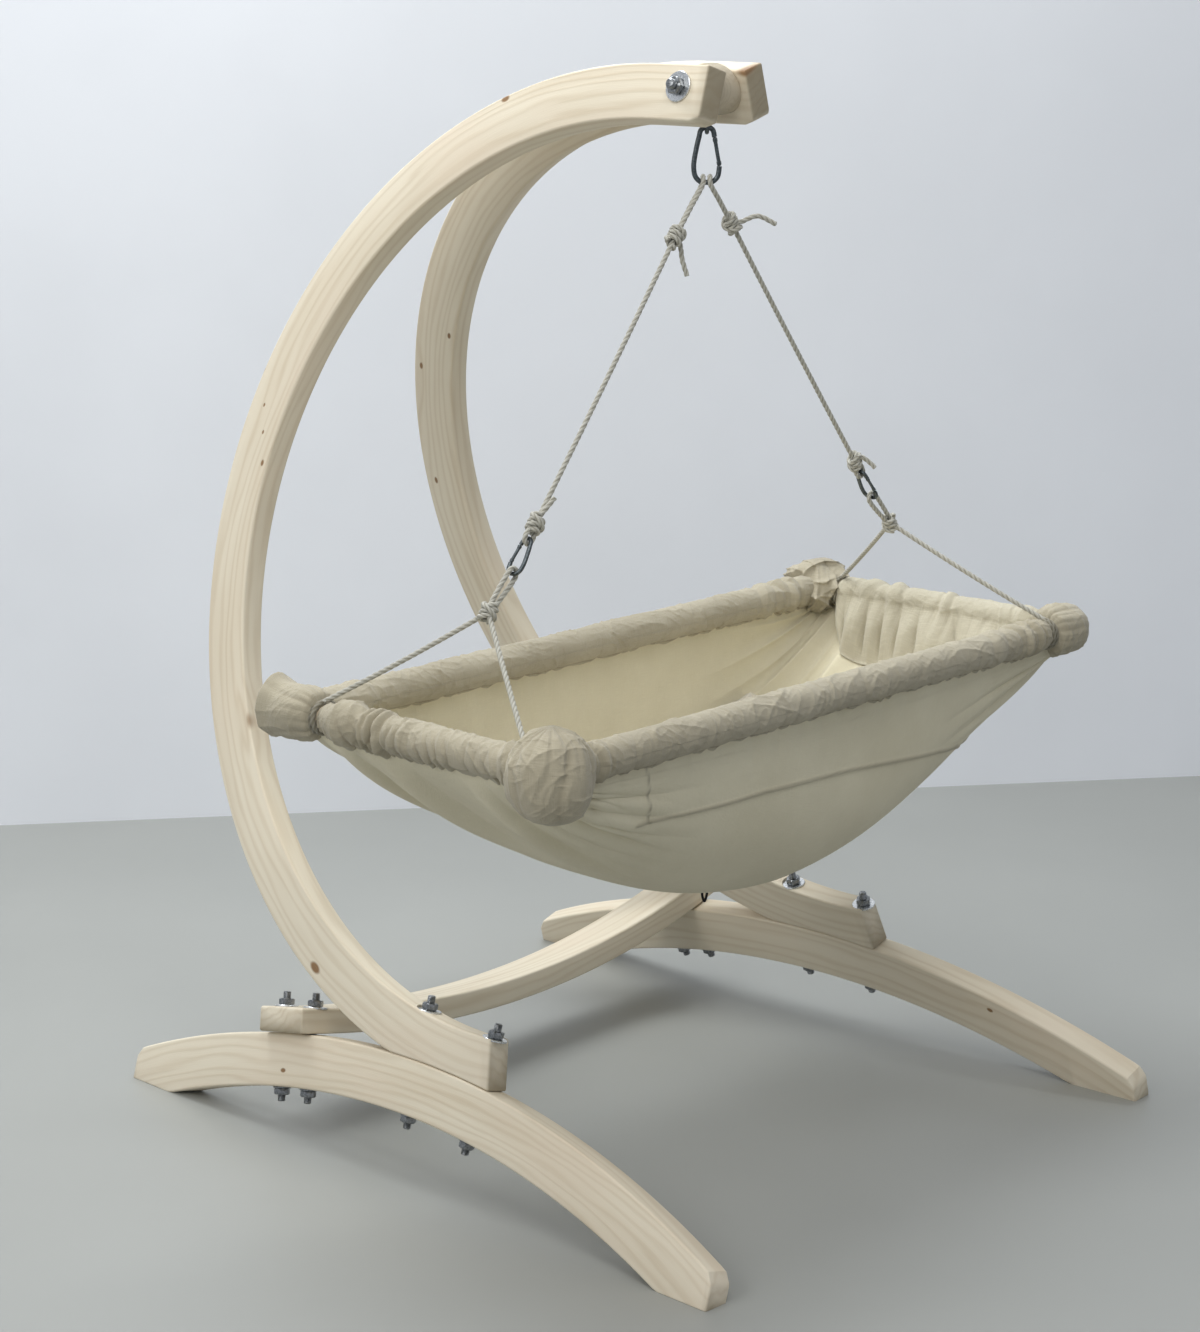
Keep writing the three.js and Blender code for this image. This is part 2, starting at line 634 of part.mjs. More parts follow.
const LOOP_ROOT_SHARE = 0.27; // of a knot, between a loop's two strands where they leave it
const LOOP_WAIST_SHARE = 0.55;

const hangingY = eyeCentre.y;

// A place in the hanging plane over the basket's bars
function overBars(sign, { x, above }) {
  return new THREE.Vector3(sign * x, hangingY, BASKET_BAR_HEIGHT + above);
}

// The upper rope of one side: a loop over the big carabiner's foot, a knot and the long run
function makeUpperRope(sign) {
  const wide = new THREE.Vector3(Math.cos(HANGER_TURN), Math.sin(HANGER_TURN), 0);
  const seat = new THREE.Vector3(0, hangingY, bigFoot).addScaledVector(wide, sign * (ROPE_DIAMETER / 2 + LOOSE_FIT));
  const clear = BIG_CARABINER.wire / 2 + ROPE_DIAMETER / 2 + LOOSE_FIT;
  const upperKnot = UPPER_KNOTS[sign];
  const upper = new THREE.Vector3(upperKnot.x, hangingY, bigFoot - upperKnot.below);
  const lower = overBars(sign, LOWER_KNOT);
  const normal = new THREE.Vector3(-wide.y, wide.x, 0);
  const beside = (side, share, rise) => {
    const point = seat.clone().addScaledVector(normal, side * clear * share);
    point.z += rise * clear;
    return point;
  };
  const halfLoop = (side) => [
    upper.clone().addScaledVector(normal, side * KNOT_SIZE * LOOP_ROOT_SHARE),
    upper.clone().lerp(seat, LOOP_WAIST_SHARE).addScaledVector(normal, side * clear),
    beside(side, 1, 0),
    beside(side, Math.SQRT1_2, Math.SQRT1_2),
  ];
  const loop = [...halfLoop(1), beside(0, 0, 1), ...halfLoop(-1).reverse()];
  const direction = new THREE.Vector3().subVectors(lower, upper).normalize();
  return { loop, upper, lower, direction };
}

function smallCarabinerFrame(sign) {
  const foot = overBars(sign, SMALL_CARABINER_FOOT);
  const lower = overBars(sign, LOWER_KNOT);
  const up = new THREE.Vector3().subVectors(lower, foot).normalize();
  const head = foot.clone().addScaledVector(up, SMALL_CARABINER.height - SMALL_CARABINER.wire);
  return { foot, head, up };
}

// Loop from a knot round a wire that crosses the hanging plane
function loopRoundBar(bar, up, wire, knotCentre) {
  const clear = wire / 2 + ROPE_DIAMETER / 2 + LOOSE_FIT;
  const across = new THREE.Vector3(up.z, 0, -up.x);
  const away = new THREE.Vector3().subVectors(knotCentre, bar).dot(up) > 0 ? -1 : 1;
  const at = (side, rise) =>
    bar.clone().addScaledVector(across, side * clear).addScaledVector(up, away * rise * clear);
  const root = (side) => knotCentre.clone().addScaledVector(across, side * KNOT_SIZE * LOOP_ROOT_SHARE);
  const halfLoop = (side) => [root(side), at(side, 0), at(side * Math.SQRT1_2, Math.SQRT1_2)];
  return [...halfLoop(1), at(0, 1), ...halfLoop(-1).reverse()];
}

const TAILS = {
  '-1': {
    upper: [[8, 0, -8], [13, 0, -28], [17, -4, -46]],
    lower: [[6, -2, 9], [14, -6, 19], [22, -10, 29]],
  },
  1: {
    upper: [[8, -8, 2], [26, -18, 8], [46, -30, -2]],
    lower: [[2, -8, 6], [10, -14, 0], [16, -20, -8]],
  },
};

function tail(centre, offsets) {
  const points = [centre.clone(), ...offsets.map(([x, y, z]) => centre.clone().add(new THREE.Vector3(x, y, z)))];
  return tube(points, ROPE_DIAMETER, 2);
}

for (const sign of [-1, 1]) {
  const name = sideNames[sign];
  const rope = makeUpperRope(sign);
  const { head, up } = smallCarabinerFrame(sign);
  const shapes = [
    tube(rope.loop, ROPE_DIAMETER, 2),
    tube([rope.upper, rope.lower], ROPE_DIAMETER, 1),
    tube(loopRoundBar(head, up, SMALL_CARABINER.wire, rope.lower), ROPE_DIAMETER, 2),
    ...knot(rope.upper, rope.direction),
    ...knot(rope.lower, rope.direction),
    tail(rope.upper, TAILS[sign].upper),
    tail(rope.lower, TAILS[sign].lower),
  ];
  root.add(piece(`upper_rope_${name}`, joined(shapes), MATERIALS.rope));

  const small = makeCarabiner(`small_carabiner_${name}`, SMALL_CARABINER, `small_gate_${name}`);
  const acrossY = new THREE.Vector3(0, -sign, 0);
  const third = new THREE.Vector3().crossVectors(acrossY, up);
  small.quaternion.setFromRotationMatrix(new THREE.Matrix4().makeBasis(acrossY, up, third));
  small.position.copy(head);
  root.add(small);
}

// Basket
const basketCorners = [-1, 1].flatMap((sx) => [-1, 1].map((sy) => ({ sx, sy })));
const cornerNames = { '-1,-1': 'front_left', '-1,1': 'rear_left', '1,-1': 'front_right', '1,1': 'rear_right' };
const barRadius = BAR_DIAMETER / 2;

function cornerPoint(corner) {
  return new THREE.Vector3(
    (corner.sx * BASKET_LENGTH) / 2,
    hangingY + (corner.sy * BASKET_WIDTH) / 2,
    BASKET_BAR_HEIGHT,
  );
}

// Half-lapped bars: the long bars lose their upper half at a crossing, the short bars the lower
function makeBar(length, alongX) {
  const bar = barAlongY(BAR_DIAMETER, -length / 2 - BAR_PAST_CORNER, length / 2 + BAR_PAST_CORNER, BAR_SEGMENTS);
  const notches = [-1, 1].map((end) => {
    const box = new THREE.BoxGeometry(BAR_DIAMETER * 2, BAR_DIAMETER + 2 * GAP, BAR_DIAMETER);
    const shift = barRadius - GAP / 2;
    box.translate(0, (end * length) / 2, alongX ? shift : -shift);
    return box;
  });
  const geometry = cut(bar, notches);
  if (alongX) {
    geometry.rotateZ(Math.PI / 2);
  }
  return geometry;
}

// A sleeve of gathered cloth round a bar, along Y
function makeSleeve(length, folds) {
  const outer = [];
  const count = folds * 2;
  for (let i = 0; i <= count; i += 1) {
    const y = -length / 2 + (length * i) / count;
    const fold = i % 2 === 0 ? -SLEEVE_FOLD : 0;
    outer.push(new THREE.Vector2(SLEEVE_DIAMETER / 2 + fold, y));
  }
  const inner = barRadius + GAP;
  const profile = [new THREE.Vector2(inner, -length / 2), ...outer, new THREE.Vector2(inner, length / 2)];
  profile.push(profile[0].clone());
  return new THREE.LatheGeometry(profile, BAR_SEGMENTS);
}

for (const end of [-1, 1]) {
  const long = piece(end < 0 ? 'long_bar_front' : 'long_bar_rear', makeBar(BASKET_LENGTH, true), MATERIALS.darkPine);
  long.position.set(0, hangingY + (end * BASKET_WIDTH) / 2, BASKET_BAR_HEIGHT);
  const short = piece(end < 0 ? 'short_bar_left' : 'short_bar_right', makeBar(BASKET_WIDTH, false), MATERIALS.darkPine);
  short.position.set((end * BASKET_LENGTH) / 2, hangingY, BASKET_BAR_HEIGHT);
  const longCloth = makeSleeve(BASKET_LENGTH - 2 * SLEEVE_END, 8);
  const longSleeve = piece(end < 0 ? 'sleeve_front' : 'sleeve_rear', longCloth, MATERIALS.cloth);
  longSleeve.position.copy(long.position);
  longSleeve.rotation.z = Math.PI / 2;
  const shortCloth = makeSleeve(BASKET_WIDTH - 2 * SLEEVE_END, 5);
  const shortSleeve = piece(end < 0 ? 'sleeve_left' : 'sleeve_right', shortCloth, MATERIALS.cloth);
  shortSleeve.position.copy(short.position);
  root.add(long, short, longSleeve, shortSleeve);
}

// Cloth gathered round each corner: a puffed cap with folds running off the bar
const CORNER_SHAPES = {
  front_left: { reach: 50, width: 50, height: 54, dropShare: 0.092, folds: 9 },
  rear_left: { reach: 44, width: 40, height: 33, dropShare: 0.09, folds: 7 },
  front_right: { reach: 40, width: 43.4, height: 32, dropShare: 0.06, folds: 7 },
  rear_right: { reach: 44, width: 45.24, height: 38, dropShare: -0.105, folds: 9 },
};
const CORNER_FOLD_SHARE = 0.05; // of a corner's width

function cornerBlob(shape, spare) {
  const blob = new THREE.SphereGeometry(1, 14, 8);
  const place = blob.attributes.position;
  for (let i = 0; i < place.count; i += 1) {
    const point = new THREE.Vector3().fromBufferAttribute(place, i);
    const around = Math.atan2(point.z, point.x);
    const ripple = 1 + CORNER_FOLD_SHARE * Math.cos(shape.folds * around) * (1 - point.y * point.y);
    place.setXYZ(
      i,
      point.x * (shape.width * ripple + spare),
      point.y * (shape.reach + spare),
      point.z * (shape.height * ripple + spare) - shape.height * shape.dropShare,
    );
  }
  return blob;
}

function barHole(corner, alongX) {
  const half = alongX ? BASKET_LENGTH / 2 : BASKET_WIDTH / 2;
  const hole = barAlongY(BAR_DIAMETER + 2 * GAP, -half, half + BAR_PAST_CORNER + GAP, BAR_SEGMENTS);
  hole.translate(0, -half, 0);
  if (corner.sy < 0 && !alongX) {
    hole.rotateZ(Math.PI);
  }
  if (alongX) {
    hole.rotateZ((-corner.sx * Math.PI) / 2);
  }
  return hole;
}

function lashingOnLongBar(corner) {
  return corner.sx > 0 && corner.sy < 0;
}

// Ring of rope round a bar beside the corner
function lashingRing(corner) {
  const ring = new THREE.TorusGeometry(barRadius + ROPE_DIAMETER / 2 + 2 * GAP, ROPE_DIAMETER / 2, 5, BAR_SEGMENTS + 2);
  ring.rotateX(Math.PI / 2);
  if (lashingOnLongBar(corner)) {
    ring.rotateZ(Math.PI / 2);
    ring.translate(-corner.sx * LASHING_FROM_CORNER, 0, 0);
  } else {
    ring.translate(0, -corner.sy * LASHING_FROM_CORNER, 0);
  }
  return ring;
}

// Everything of a corner's cloth that would reach the tied rope or a sleeve
function cornerTrims(corner) {
  const tied = LASHING_FROM_CORNER - ROPE_DIAMETER / 2 - 2 * GAP;
  const open = SLEEVE_END - CORNER_CLEARANCE;
  const size = SLEEVE_DIAMETER * 4;
  const alongLong = new THREE.BoxGeometry(size, size, size);
  alongLong.translate(-corner.sx * ((lashingOnLongBar(corner) ? tied : open) + size / 2), 0, 0);
  const alongShort = new THREE.BoxGeometry(size, size, size);
  alongShort.translate(0, -corner.sy * ((lashingOnLongBar(corner) ? open : tied) + size / 2), 0);
  return [alongLong, alongShort];
}

function makeCorner(corner) {
  const shape = CORNER_SHAPES[cornerNames[[corner.sx, corner.sy]]];
  const tools = [barHole(corner, true), barHole(corner, false), ...cornerTrims(corner)];
  return cut(cornerBlob(shape, 0), tools);
}

for (const corner of basketCorners) {
  const name = cornerNames[[corner.sx, corner.sy]];
  const cap = piece(`corner_${name}`, makeCorner(corner), MATERIALS.cloth);
  cap.position.copy(cornerPoint(corner));
  root.add(cap);
}

// Trough: one cloth, boat-shaped, hung under the sleeves. `u` runs along the basket from -1 to
// 1 and `v` across it from -1 to 1 through the keel.
const TROUGH_LENGTH_POWER = 1.7;
const TROUGH_DEPTH_POWER = 0.85;
const TROUGH_SECTION_POWER = 3;
const TROUGH_COLUMNS = 14;
const TROUGH_ROWS = 18;
const MATTRESS_COLUMNS = [4, 10];
const MATTRESS_ROWS = [3, 15];
const MATTRESS_EDGE_SHARE = 0.45; // of the mattress's thickness, left at its edge
const MATTRESS_EDGE_POWER = 5;
const END_FOLD_COUNT = 7;
const FOLD_START_SHARE = 0.55; // of half the length, where the folds begin
const FOLD_PEAK_SHARE = 2.6; // brings the highest fold to its full height
const rimHeight = BASKET_BAR_HEIGHT - SLEEVE_DIAMETER / 2 - GAP;

function troughPoint(u, v, inset) {
  const halfLength = BASKET_LENGTH / 2 - inset;
  const halfWidth = BASKET_WIDTH / 2 - inset;
  const deep = (TROUGH_DEPTH - inset) * (1 - Math.abs(u) ** TROUGH_LENGTH_POWER) ** TROUGH_DEPTH_POWER;
  const angle = ((1 - v) * Math.PI) / 2;
  const bend = 2 / TROUGH_SECTION_POWER;
  const y = Math.sign(Math.cos(angle)) * Math.abs(Math.cos(angle)) ** bend * halfWidth;
  const fall = Math.abs(Math.sin(angle)) ** bend;
  const near = Math.max(0, (Math.abs(u) - FOLD_START_SHARE) / (1 - FOLD_START_SHARE));
  const wave = Math.cos(END_FOLD_COUNT * Math.PI * v) * fall;
  const fold = END_FOLD * FOLD_PEAK_SHARE * near * (1 - near * near) * wave;
  return new THREE.Vector3(u * halfLength - Math.sign(u) * fold, y + 0, rimHeight - deep * fall + fold);
}

// Closed sheet between two grids of points that share their layout
function closedSheet(outerGrid, innerGrid) {
  const columns = outerGrid.length;
  const rows = outerGrid[0].length;
  const positions = [];
  for (const grid of [outerGrid, innerGrid]) {
    for (const column of grid) {
      for (const point of column) {
        positions.push(point.x, point.y, point.z);
      }
    }
  }
  const at = (layer, i, j) => layer * columns * rows + i * rows + j;
  const index = [];
  const quad = (a, b, c, d) => index.push(a, b, c, a, c, d);
  for (let i = 0; i < columns - 1; i += 1) {
    for (let j = 0; j < rows - 1; j += 1) {
      quad(at(0, i, j), at(0, i + 1, j), at(0, i + 1, j + 1), at(0, i, j + 1));
      quad(at(1, i, j), at(1, i, j + 1), at(1, i + 1, j + 1), at(1, i + 1, j));
    }
    quad(at(0, i, 0), at(1, i, 0), at(1, i + 1, 0), at(0, i + 1, 0));
    quad(at(0, i, rows - 1), at(0, i + 1, rows - 1), at(1, i + 1, rows - 1), at(1, i, rows - 1));
  }
  for (let j = 0; j < rows - 1; j += 1) {
    quad(at(0, 0, j), at(0, 0, j + 1), at(1, 0, j + 1), at(1, 0, j));
    quad(at(0, columns - 1, j), at(1, columns - 1, j), at(1, columns - 1, j + 1), at(0, columns - 1, j + 1));
  }
  const geometry = new THREE.BufferGeometry();
  geometry.setAttribute('position', new THREE.Float32BufferAttribute(positions, 3));
  geometry.setIndex(index);
  return geometry;
}

// The part of the cloth's grid from one column and row to another, moved inwards
function troughGrid(inset, columns = [0, TROUGH_COLUMNS], rows = [0, TROUGH_ROWS]) {
  const grid = [];
  for (let i = columns[0]; i <= columns[1]; i += 1) {
    const u = Math.sin((Math.PI / 2) * (-1 + (2 * i) / TROUGH_COLUMNS));
    const column = [];
    for (let j = rows[0]; j <= rows[1]; j += 1) {
      const a = (2 * (i - columns[0])) / (columns[1] - columns[0]) - 1;
      const b = (2 * (j - rows[0])) / (rows[1] - rows[0]) - 1;
      column.push(troughPoint(u, 1 - (2 * j) / TROUGH_ROWS, inset(a, b)));
    }
    grid.push(column);
  }
  return grid;
}

function makeTrough() {
  const tools = basketCorners.map((corner) => {
    const name = cornerNames[[corner.sx, corner.sy]];
    const place = cornerPoint(corner).sub(new THREE.Vector3(0, hangingY, 0));
    return cornerBlob(CORNER_SHAPES[name], GAP * 3).translate(place.x, place.y, place.z);
  });
  const outer = troughGrid(() => 0);
  const inner = troughGrid(() => CLOTH_THICKNESS);
  return cut(closedSheet(outer, inner), tools);
}

const trough = piece('trough', makeTrough(), MATERIALS.cloth);
trough.position.y = hangingY;
root.add(trough);

// Mattress: a crowned pad that lies in the trough and follows its cloth
function makeMattress() {
  const bed = CLOTH_THICKNESS + 2 * GAP;
  const thickness = (a, b) => {
    const crown = (1 - Math.abs(a) ** MATTRESS_EDGE_POWER) * (1 - Math.abs(b) ** MATTRESS_EDGE_POWER);
    return MATTRESS_THICKNESS * (MATTRESS_EDGE_SHARE + (1 - MATTRESS_EDGE_SHARE) * Math.sqrt(crown));
  };
  const lower = troughGrid(() => bed, MATTRESS_COLUMNS, MATTRESS_ROWS);
  const upper = troughGrid((a, b) => bed + thickness(a, b), MATTRESS_COLUMNS, MATTRESS_ROWS);
  return closedSheet(lower, upper);
}

const mattress = piece('mattress', makeMattress(), MATERIALS.mattress);
mattress.position.y = hangingY;
root.add(mattress);

// Bridles: a loop in the small carabiner's foot, a knot, and two legs tied round the bars
function legEnd(corner) {
  const point = cornerPoint(corner);
  const rise = barRadius + ROPE_DIAMETER / 2 + 2 * GAP;
  if (lashingOnLongBar(corner)) {
    point.x -= corner.sx * LASHING_FROM_CORNER;
  } else {
    point.y -= corner.sy * LASHING_FROM_CORNER;
  }
  point.z += rise;
  return point;
}

for (const sign of [-1, 1]) {
  const { foot, up } = smallCarabinerFrame(sign);
  const centre = overBars(sign, BRIDLE_KNOT);
  const shapes = [
    tube(loopRoundBar(foot, up, SMALL_CARABINER.wire, centre), ROPE_DIAMETER, 2),
    ...knot(centre, up),
  ];
  for (const corner of basketCorners.filter((place) => place.sx === sign)) {
    const end = legEnd(corner);
    shapes.push(tube([centre, end], ROPE_DIAMETER, 1));
    const ring = lashingRing(corner);
    const place = cornerPoint(corner);
    ring.translate(place.x, place.y, place.z);
    shapes.push(ring);
  }
  root.add(piece(`bridle_${sideNames[sign]}`, joined(shapes), MATERIALS.rope));
}

// Hook of bent wire under the keel. Each row: shares of the hook's half width and of its drop.
const HOOK_SHARES = [
  [-2.6, 0],
  [-1.4, 0],
  [-1, 0.3],
  [-0.8, 0.8],
  [0, 1],
  [0.8, 0.8],
  [1, 0.3],
  [1.4, 0],
  [2.6, 0],
];

function makeHook() {
  const points = HOOK_SHARES.map(
    ([side, down]) => new THREE.Vector3((side * HOOK_WIDTH) / 2, 0, -down * HOOK_DROP - GAP - HOOK_WIRE / 2),
  );
  return tube(points, HOOK_WIRE, 2, 6);
}

const hook = piece('keel_hook', makeHook(), MATERIALS.blackSteel);
const [[middleColumn], [nextColumn]] = [0, 1].map((next) => {
  const column = TROUGH_COLUMNS / 2 + next;
  return troughGrid(() => 0, [column, column + 1], [TROUGH_ROWS / 2, TROUGH_ROWS / 2 + 1]);
});
const keelRun = new THREE.Vector3().subVectors(nextColumn[0], middleColumn[0]);
hook.position.copy(middleColumn[0]).addScaledVector(keelRun, HOOK_SIDE / keelRun.x);
hook.position.y = hangingY;
hook.rotation.y = -Math.atan2(keelRun.z, keelRun.x);
root.add(hook);

// The origin goes to the floor under the middle of the whole
root.updateMatrixWorld(true);
const middle = new THREE.Box3().setFromObject(root, true).getCenter(new THREE.Vector3());
root.position.set(-middle.x, -middle.y, 0);

export default root;
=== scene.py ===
# %% [markdown]
# # A hanging baby cradle
# Two leaning C-shaped pine arches stand bolted on crowned runners and meet over the middle.
# From their joined tops a canvas trough hangs by an eye, carabiners and knotted rope.
# The solids of the measured model give every place and size. This lesson dresses them: each
# board, bolt, rope and cloth is worked out as a surface, and gets a finish made of nodes.

# %% Load the measured model
import math

import bpy
import numpy as np
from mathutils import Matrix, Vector


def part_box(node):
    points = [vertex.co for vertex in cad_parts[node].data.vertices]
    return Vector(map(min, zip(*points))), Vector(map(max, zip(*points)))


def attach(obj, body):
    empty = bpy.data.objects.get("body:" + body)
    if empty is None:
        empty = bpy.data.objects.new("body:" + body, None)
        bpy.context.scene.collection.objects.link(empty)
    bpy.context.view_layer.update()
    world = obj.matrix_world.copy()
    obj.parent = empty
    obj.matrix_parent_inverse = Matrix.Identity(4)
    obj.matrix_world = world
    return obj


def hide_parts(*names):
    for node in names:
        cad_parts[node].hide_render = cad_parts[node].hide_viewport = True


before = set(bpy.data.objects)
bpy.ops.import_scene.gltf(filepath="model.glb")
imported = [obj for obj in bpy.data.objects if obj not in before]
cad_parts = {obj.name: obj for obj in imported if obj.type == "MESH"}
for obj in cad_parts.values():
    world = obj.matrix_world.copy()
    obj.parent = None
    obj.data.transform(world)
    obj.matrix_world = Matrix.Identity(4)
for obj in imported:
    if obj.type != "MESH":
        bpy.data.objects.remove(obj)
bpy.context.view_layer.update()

# %% [markdown]
# The camera comes first, because everything is judged through it. Its place, its lens and its
# slight downward tilt were solved from bolts and board edges seen in the photograph. The
# horizontal sensor fit keeps the lens right whatever the shape of the picture.

# %% The camera
def in_scene(name, data):
    """A new object in the scene."""
    made = bpy.data.objects.new(name, data)
    bpy.context.scene.collection.objects.link(made)
    return made


TURN = math.radians(47.554)
DOWN = math.radians(13.268)
LENS = 92.54
SENSOR = 36
CAMERA_PLACE = (-2.76029, -2.48832, 1.42892)

lens = bpy.data.cameras.new("photo_view")
lens.sensor_fit = "HORIZONTAL"
lens.sensor_width = SENSOR
lens.lens = LENS
camera = in_scene("photo_view", lens)
camera.location = CAMERA_PLACE
gaze = Vector((math.sin(TURN) * math.cos(DOWN), math.cos(TURN) * math.cos(DOWN), -math.sin(DOWN)))
camera.rotation_euler = gaze.to_track_quat("-Z", "Y").to_euler()
bpy.context.scene.camera = camera
print("camera looks along", np.round(gaze, 3).tolist())

# %% [markdown]
# ## Surfaces from grids
# Every new piece is a grid of points: rows along it and columns round it. One helper turns a
# grid into faces, one closes its ends, and one makes the Blender object. Arrays do the work,
# so a rope with ten thousand points is a single sum.


# %% Faces of a grid
def grid_faces(rows, columns, wrap):
    """Quads between neighbouring rows and columns. With wrap, the last column joins the first."""
    i, j = np.meshgrid(np.arange(rows - 1), np.arange(columns if wrap else columns - 1), indexing="ij")
    k = (j + 1) % columns
    corners = [i * columns + j, i * columns + k, (i + 1) * columns + k, (i + 1) * columns + j]
    return np.stack(corners, -1).reshape(-1, 4)


def full_turn(count):
    """Even angles round a circle."""
    return np.linspace(0, 2 * math.pi, count, endpoint=False)


def run_along(path):
    """How far along a path each of its points lies."""
    return np.concatenate([[0], np.cumsum(np.linalg.norm(np.diff(path, axis=0), axis=1))])


def closed_tube(points):
    """A tube with each end closed by a fan to the middle of its last ring."""
    rows, around = points.shape[:2]
    middles = np.stack([points[0].mean(0), points[-1].mean(0)])
    verts = np.concatenate([points.reshape(-1, 3), middles])
    j = np.arange(around)
    k = (j + 1) % around
    end = (rows - 1) * around
    first = np.stack([np.full(around, rows * around), k, j], -1)
    last = np.stack([np.full(around, rows * around + 1), end + j, end + k], -1)
    return verts, grid_faces(rows, around, True), np.concatenate([first, last])


def ring_tube(points):
    """A tube whose last row joins its first one, like a washer's section carried round."""
    rows, around = points.shape[:2]
    looped = np.concatenate([points, points[:1]])
    quads = grid_faces(rows + 1, around, True) % (rows * around)
    return looped[:-1].reshape(-1, 3), quads, np.zeros((0, 3), int)


def open_sheet(points):
    """A sheet with free edges."""
    rows, columns = points.shape[:2]
    return points.reshape(-1, 3), grid_faces(rows, columns, False), np.zeros((0, 3), int)


def volume_of(verts, quads, tris):
    """Signed volume: a sixth of the sum of a . (b x c) over all triangles."""
    flat = np.concatenate([quads[:, [0, 1, 2]], quads[:, [0, 2, 3]], tris])
    a, b, c = verts[flat[:, 0]], verts[flat[:, 1]], verts[flat[:, 2]]
    return float((a * np.cross(b, c)).sum() / 6)


def facing_out(part):
    """The same closed part with its faces turned outwards."""
    verts, quads, tris = part
    if volume_of(verts - verts.mean(0), quads, tris) < 0:
        return verts, quads[:, ::-1], tris[:, ::-1]
    return part


def outward_tube(points):
    """A closed tube whose faces point outwards."""
    return facing_out(closed_tube(points))


# %% [markdown]
# A piece may be several closed parts, such as a nut, its flange and its rod, so the maker takes
# a list. Extra numbers at the points, such as how far along a rope each one lies, go in as a
# named attribute that the finish can read.


# %% From parts to a Blender object
def give_values(mesh, label, data):
    """Three numbers for each point, under a name that a finish can read."""
    layer = mesh.attributes.new(label, "FLOAT_VECTOR", "POINT")
    layer.data.foreach_set("vector", np.ascontiguousarray(data, dtype=np.float32).ravel())


def make_piece(name, parts, finish, body, stands_for=(), values=None, crease=35):
    """One object from closed or open parts. It rides on a body and hides the solids it stands for."""
    verts, faces, start = [], [], 0
    for points, quads, tris in parts:
        verts.append(points)
        faces += (quads + start).tolist() + (tris + start).tolist()
        start += len(points)
    verts = np.concatenate(verts)
    mesh = bpy.data.meshes.new(name)
    mesh.from_pydata(verts.tolist(), [], faces)
    mesh.materials.append(finish)
    for label, data in (values or {}).items():
        give_values(mesh, label, data)
    mesh.shade_smooth()
    if crease:
        mesh.set_sharp_from_angle(angle=math.radians(crease))
    made = in_scene(name, mesh)
    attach(made, body)
    if stands_for:
        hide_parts(*stands_for)
    print(f"{name}: {len(verts)} points, {len(faces)} faces")
    return made


# %% [markdown]
# ## A small language for finishes
# A finish is a tree of nodes, and reads badly when each one is placed by hand. Here one class
# stands for a value that flows between nodes, with the usual signs of arithmetic, and one
# method adds any other node. A formula such as `0.4 + 0.2 * grain` then makes its own nodes.


# %% Values and finishes
class Flow:
    """A value on its way between nodes."""

    def __init__(self, finish, socket):
        self.finish = finish
        self.socket = socket

    def maths(self, operation, *values, clamp=False):
        """A Math node on these values."""
        settings = {"operation": operation, "use_clamp": clamp}
        return self.finish.node("ShaderNodeMath", settings, dict(enumerate(values)))

    def __add__(self, other):
        return self.maths("ADD", self, other)

    def __sub__(self, other):
        return self.maths("SUBTRACT", self, other)

    def __rsub__(self, other):
        return self.maths("SUBTRACT", other, self)

    def __mul__(self, other):
        return self.maths("MULTIPLY", self, other)

    def __pow__(self, other):
        return self.maths("POWER", self, other)

    __radd__ = __add__
    __rmul__ = __mul__

    def sine(self):
        return self.maths("SINE", self)

    def held(self):
        """Kept between 0 and 1."""
        return self.maths("ADD", self, 0.0, clamp=True)

    def step(self, low, high):
        """0 below low, 1 above high, and smooth between."""
        settings = {"interpolation_type": "SMOOTHSTEP"}
        return self.finish.node("ShaderNodeMapRange", settings, {0: self, 1: low, 2: high, 3: 0.0, 4: 1.0})


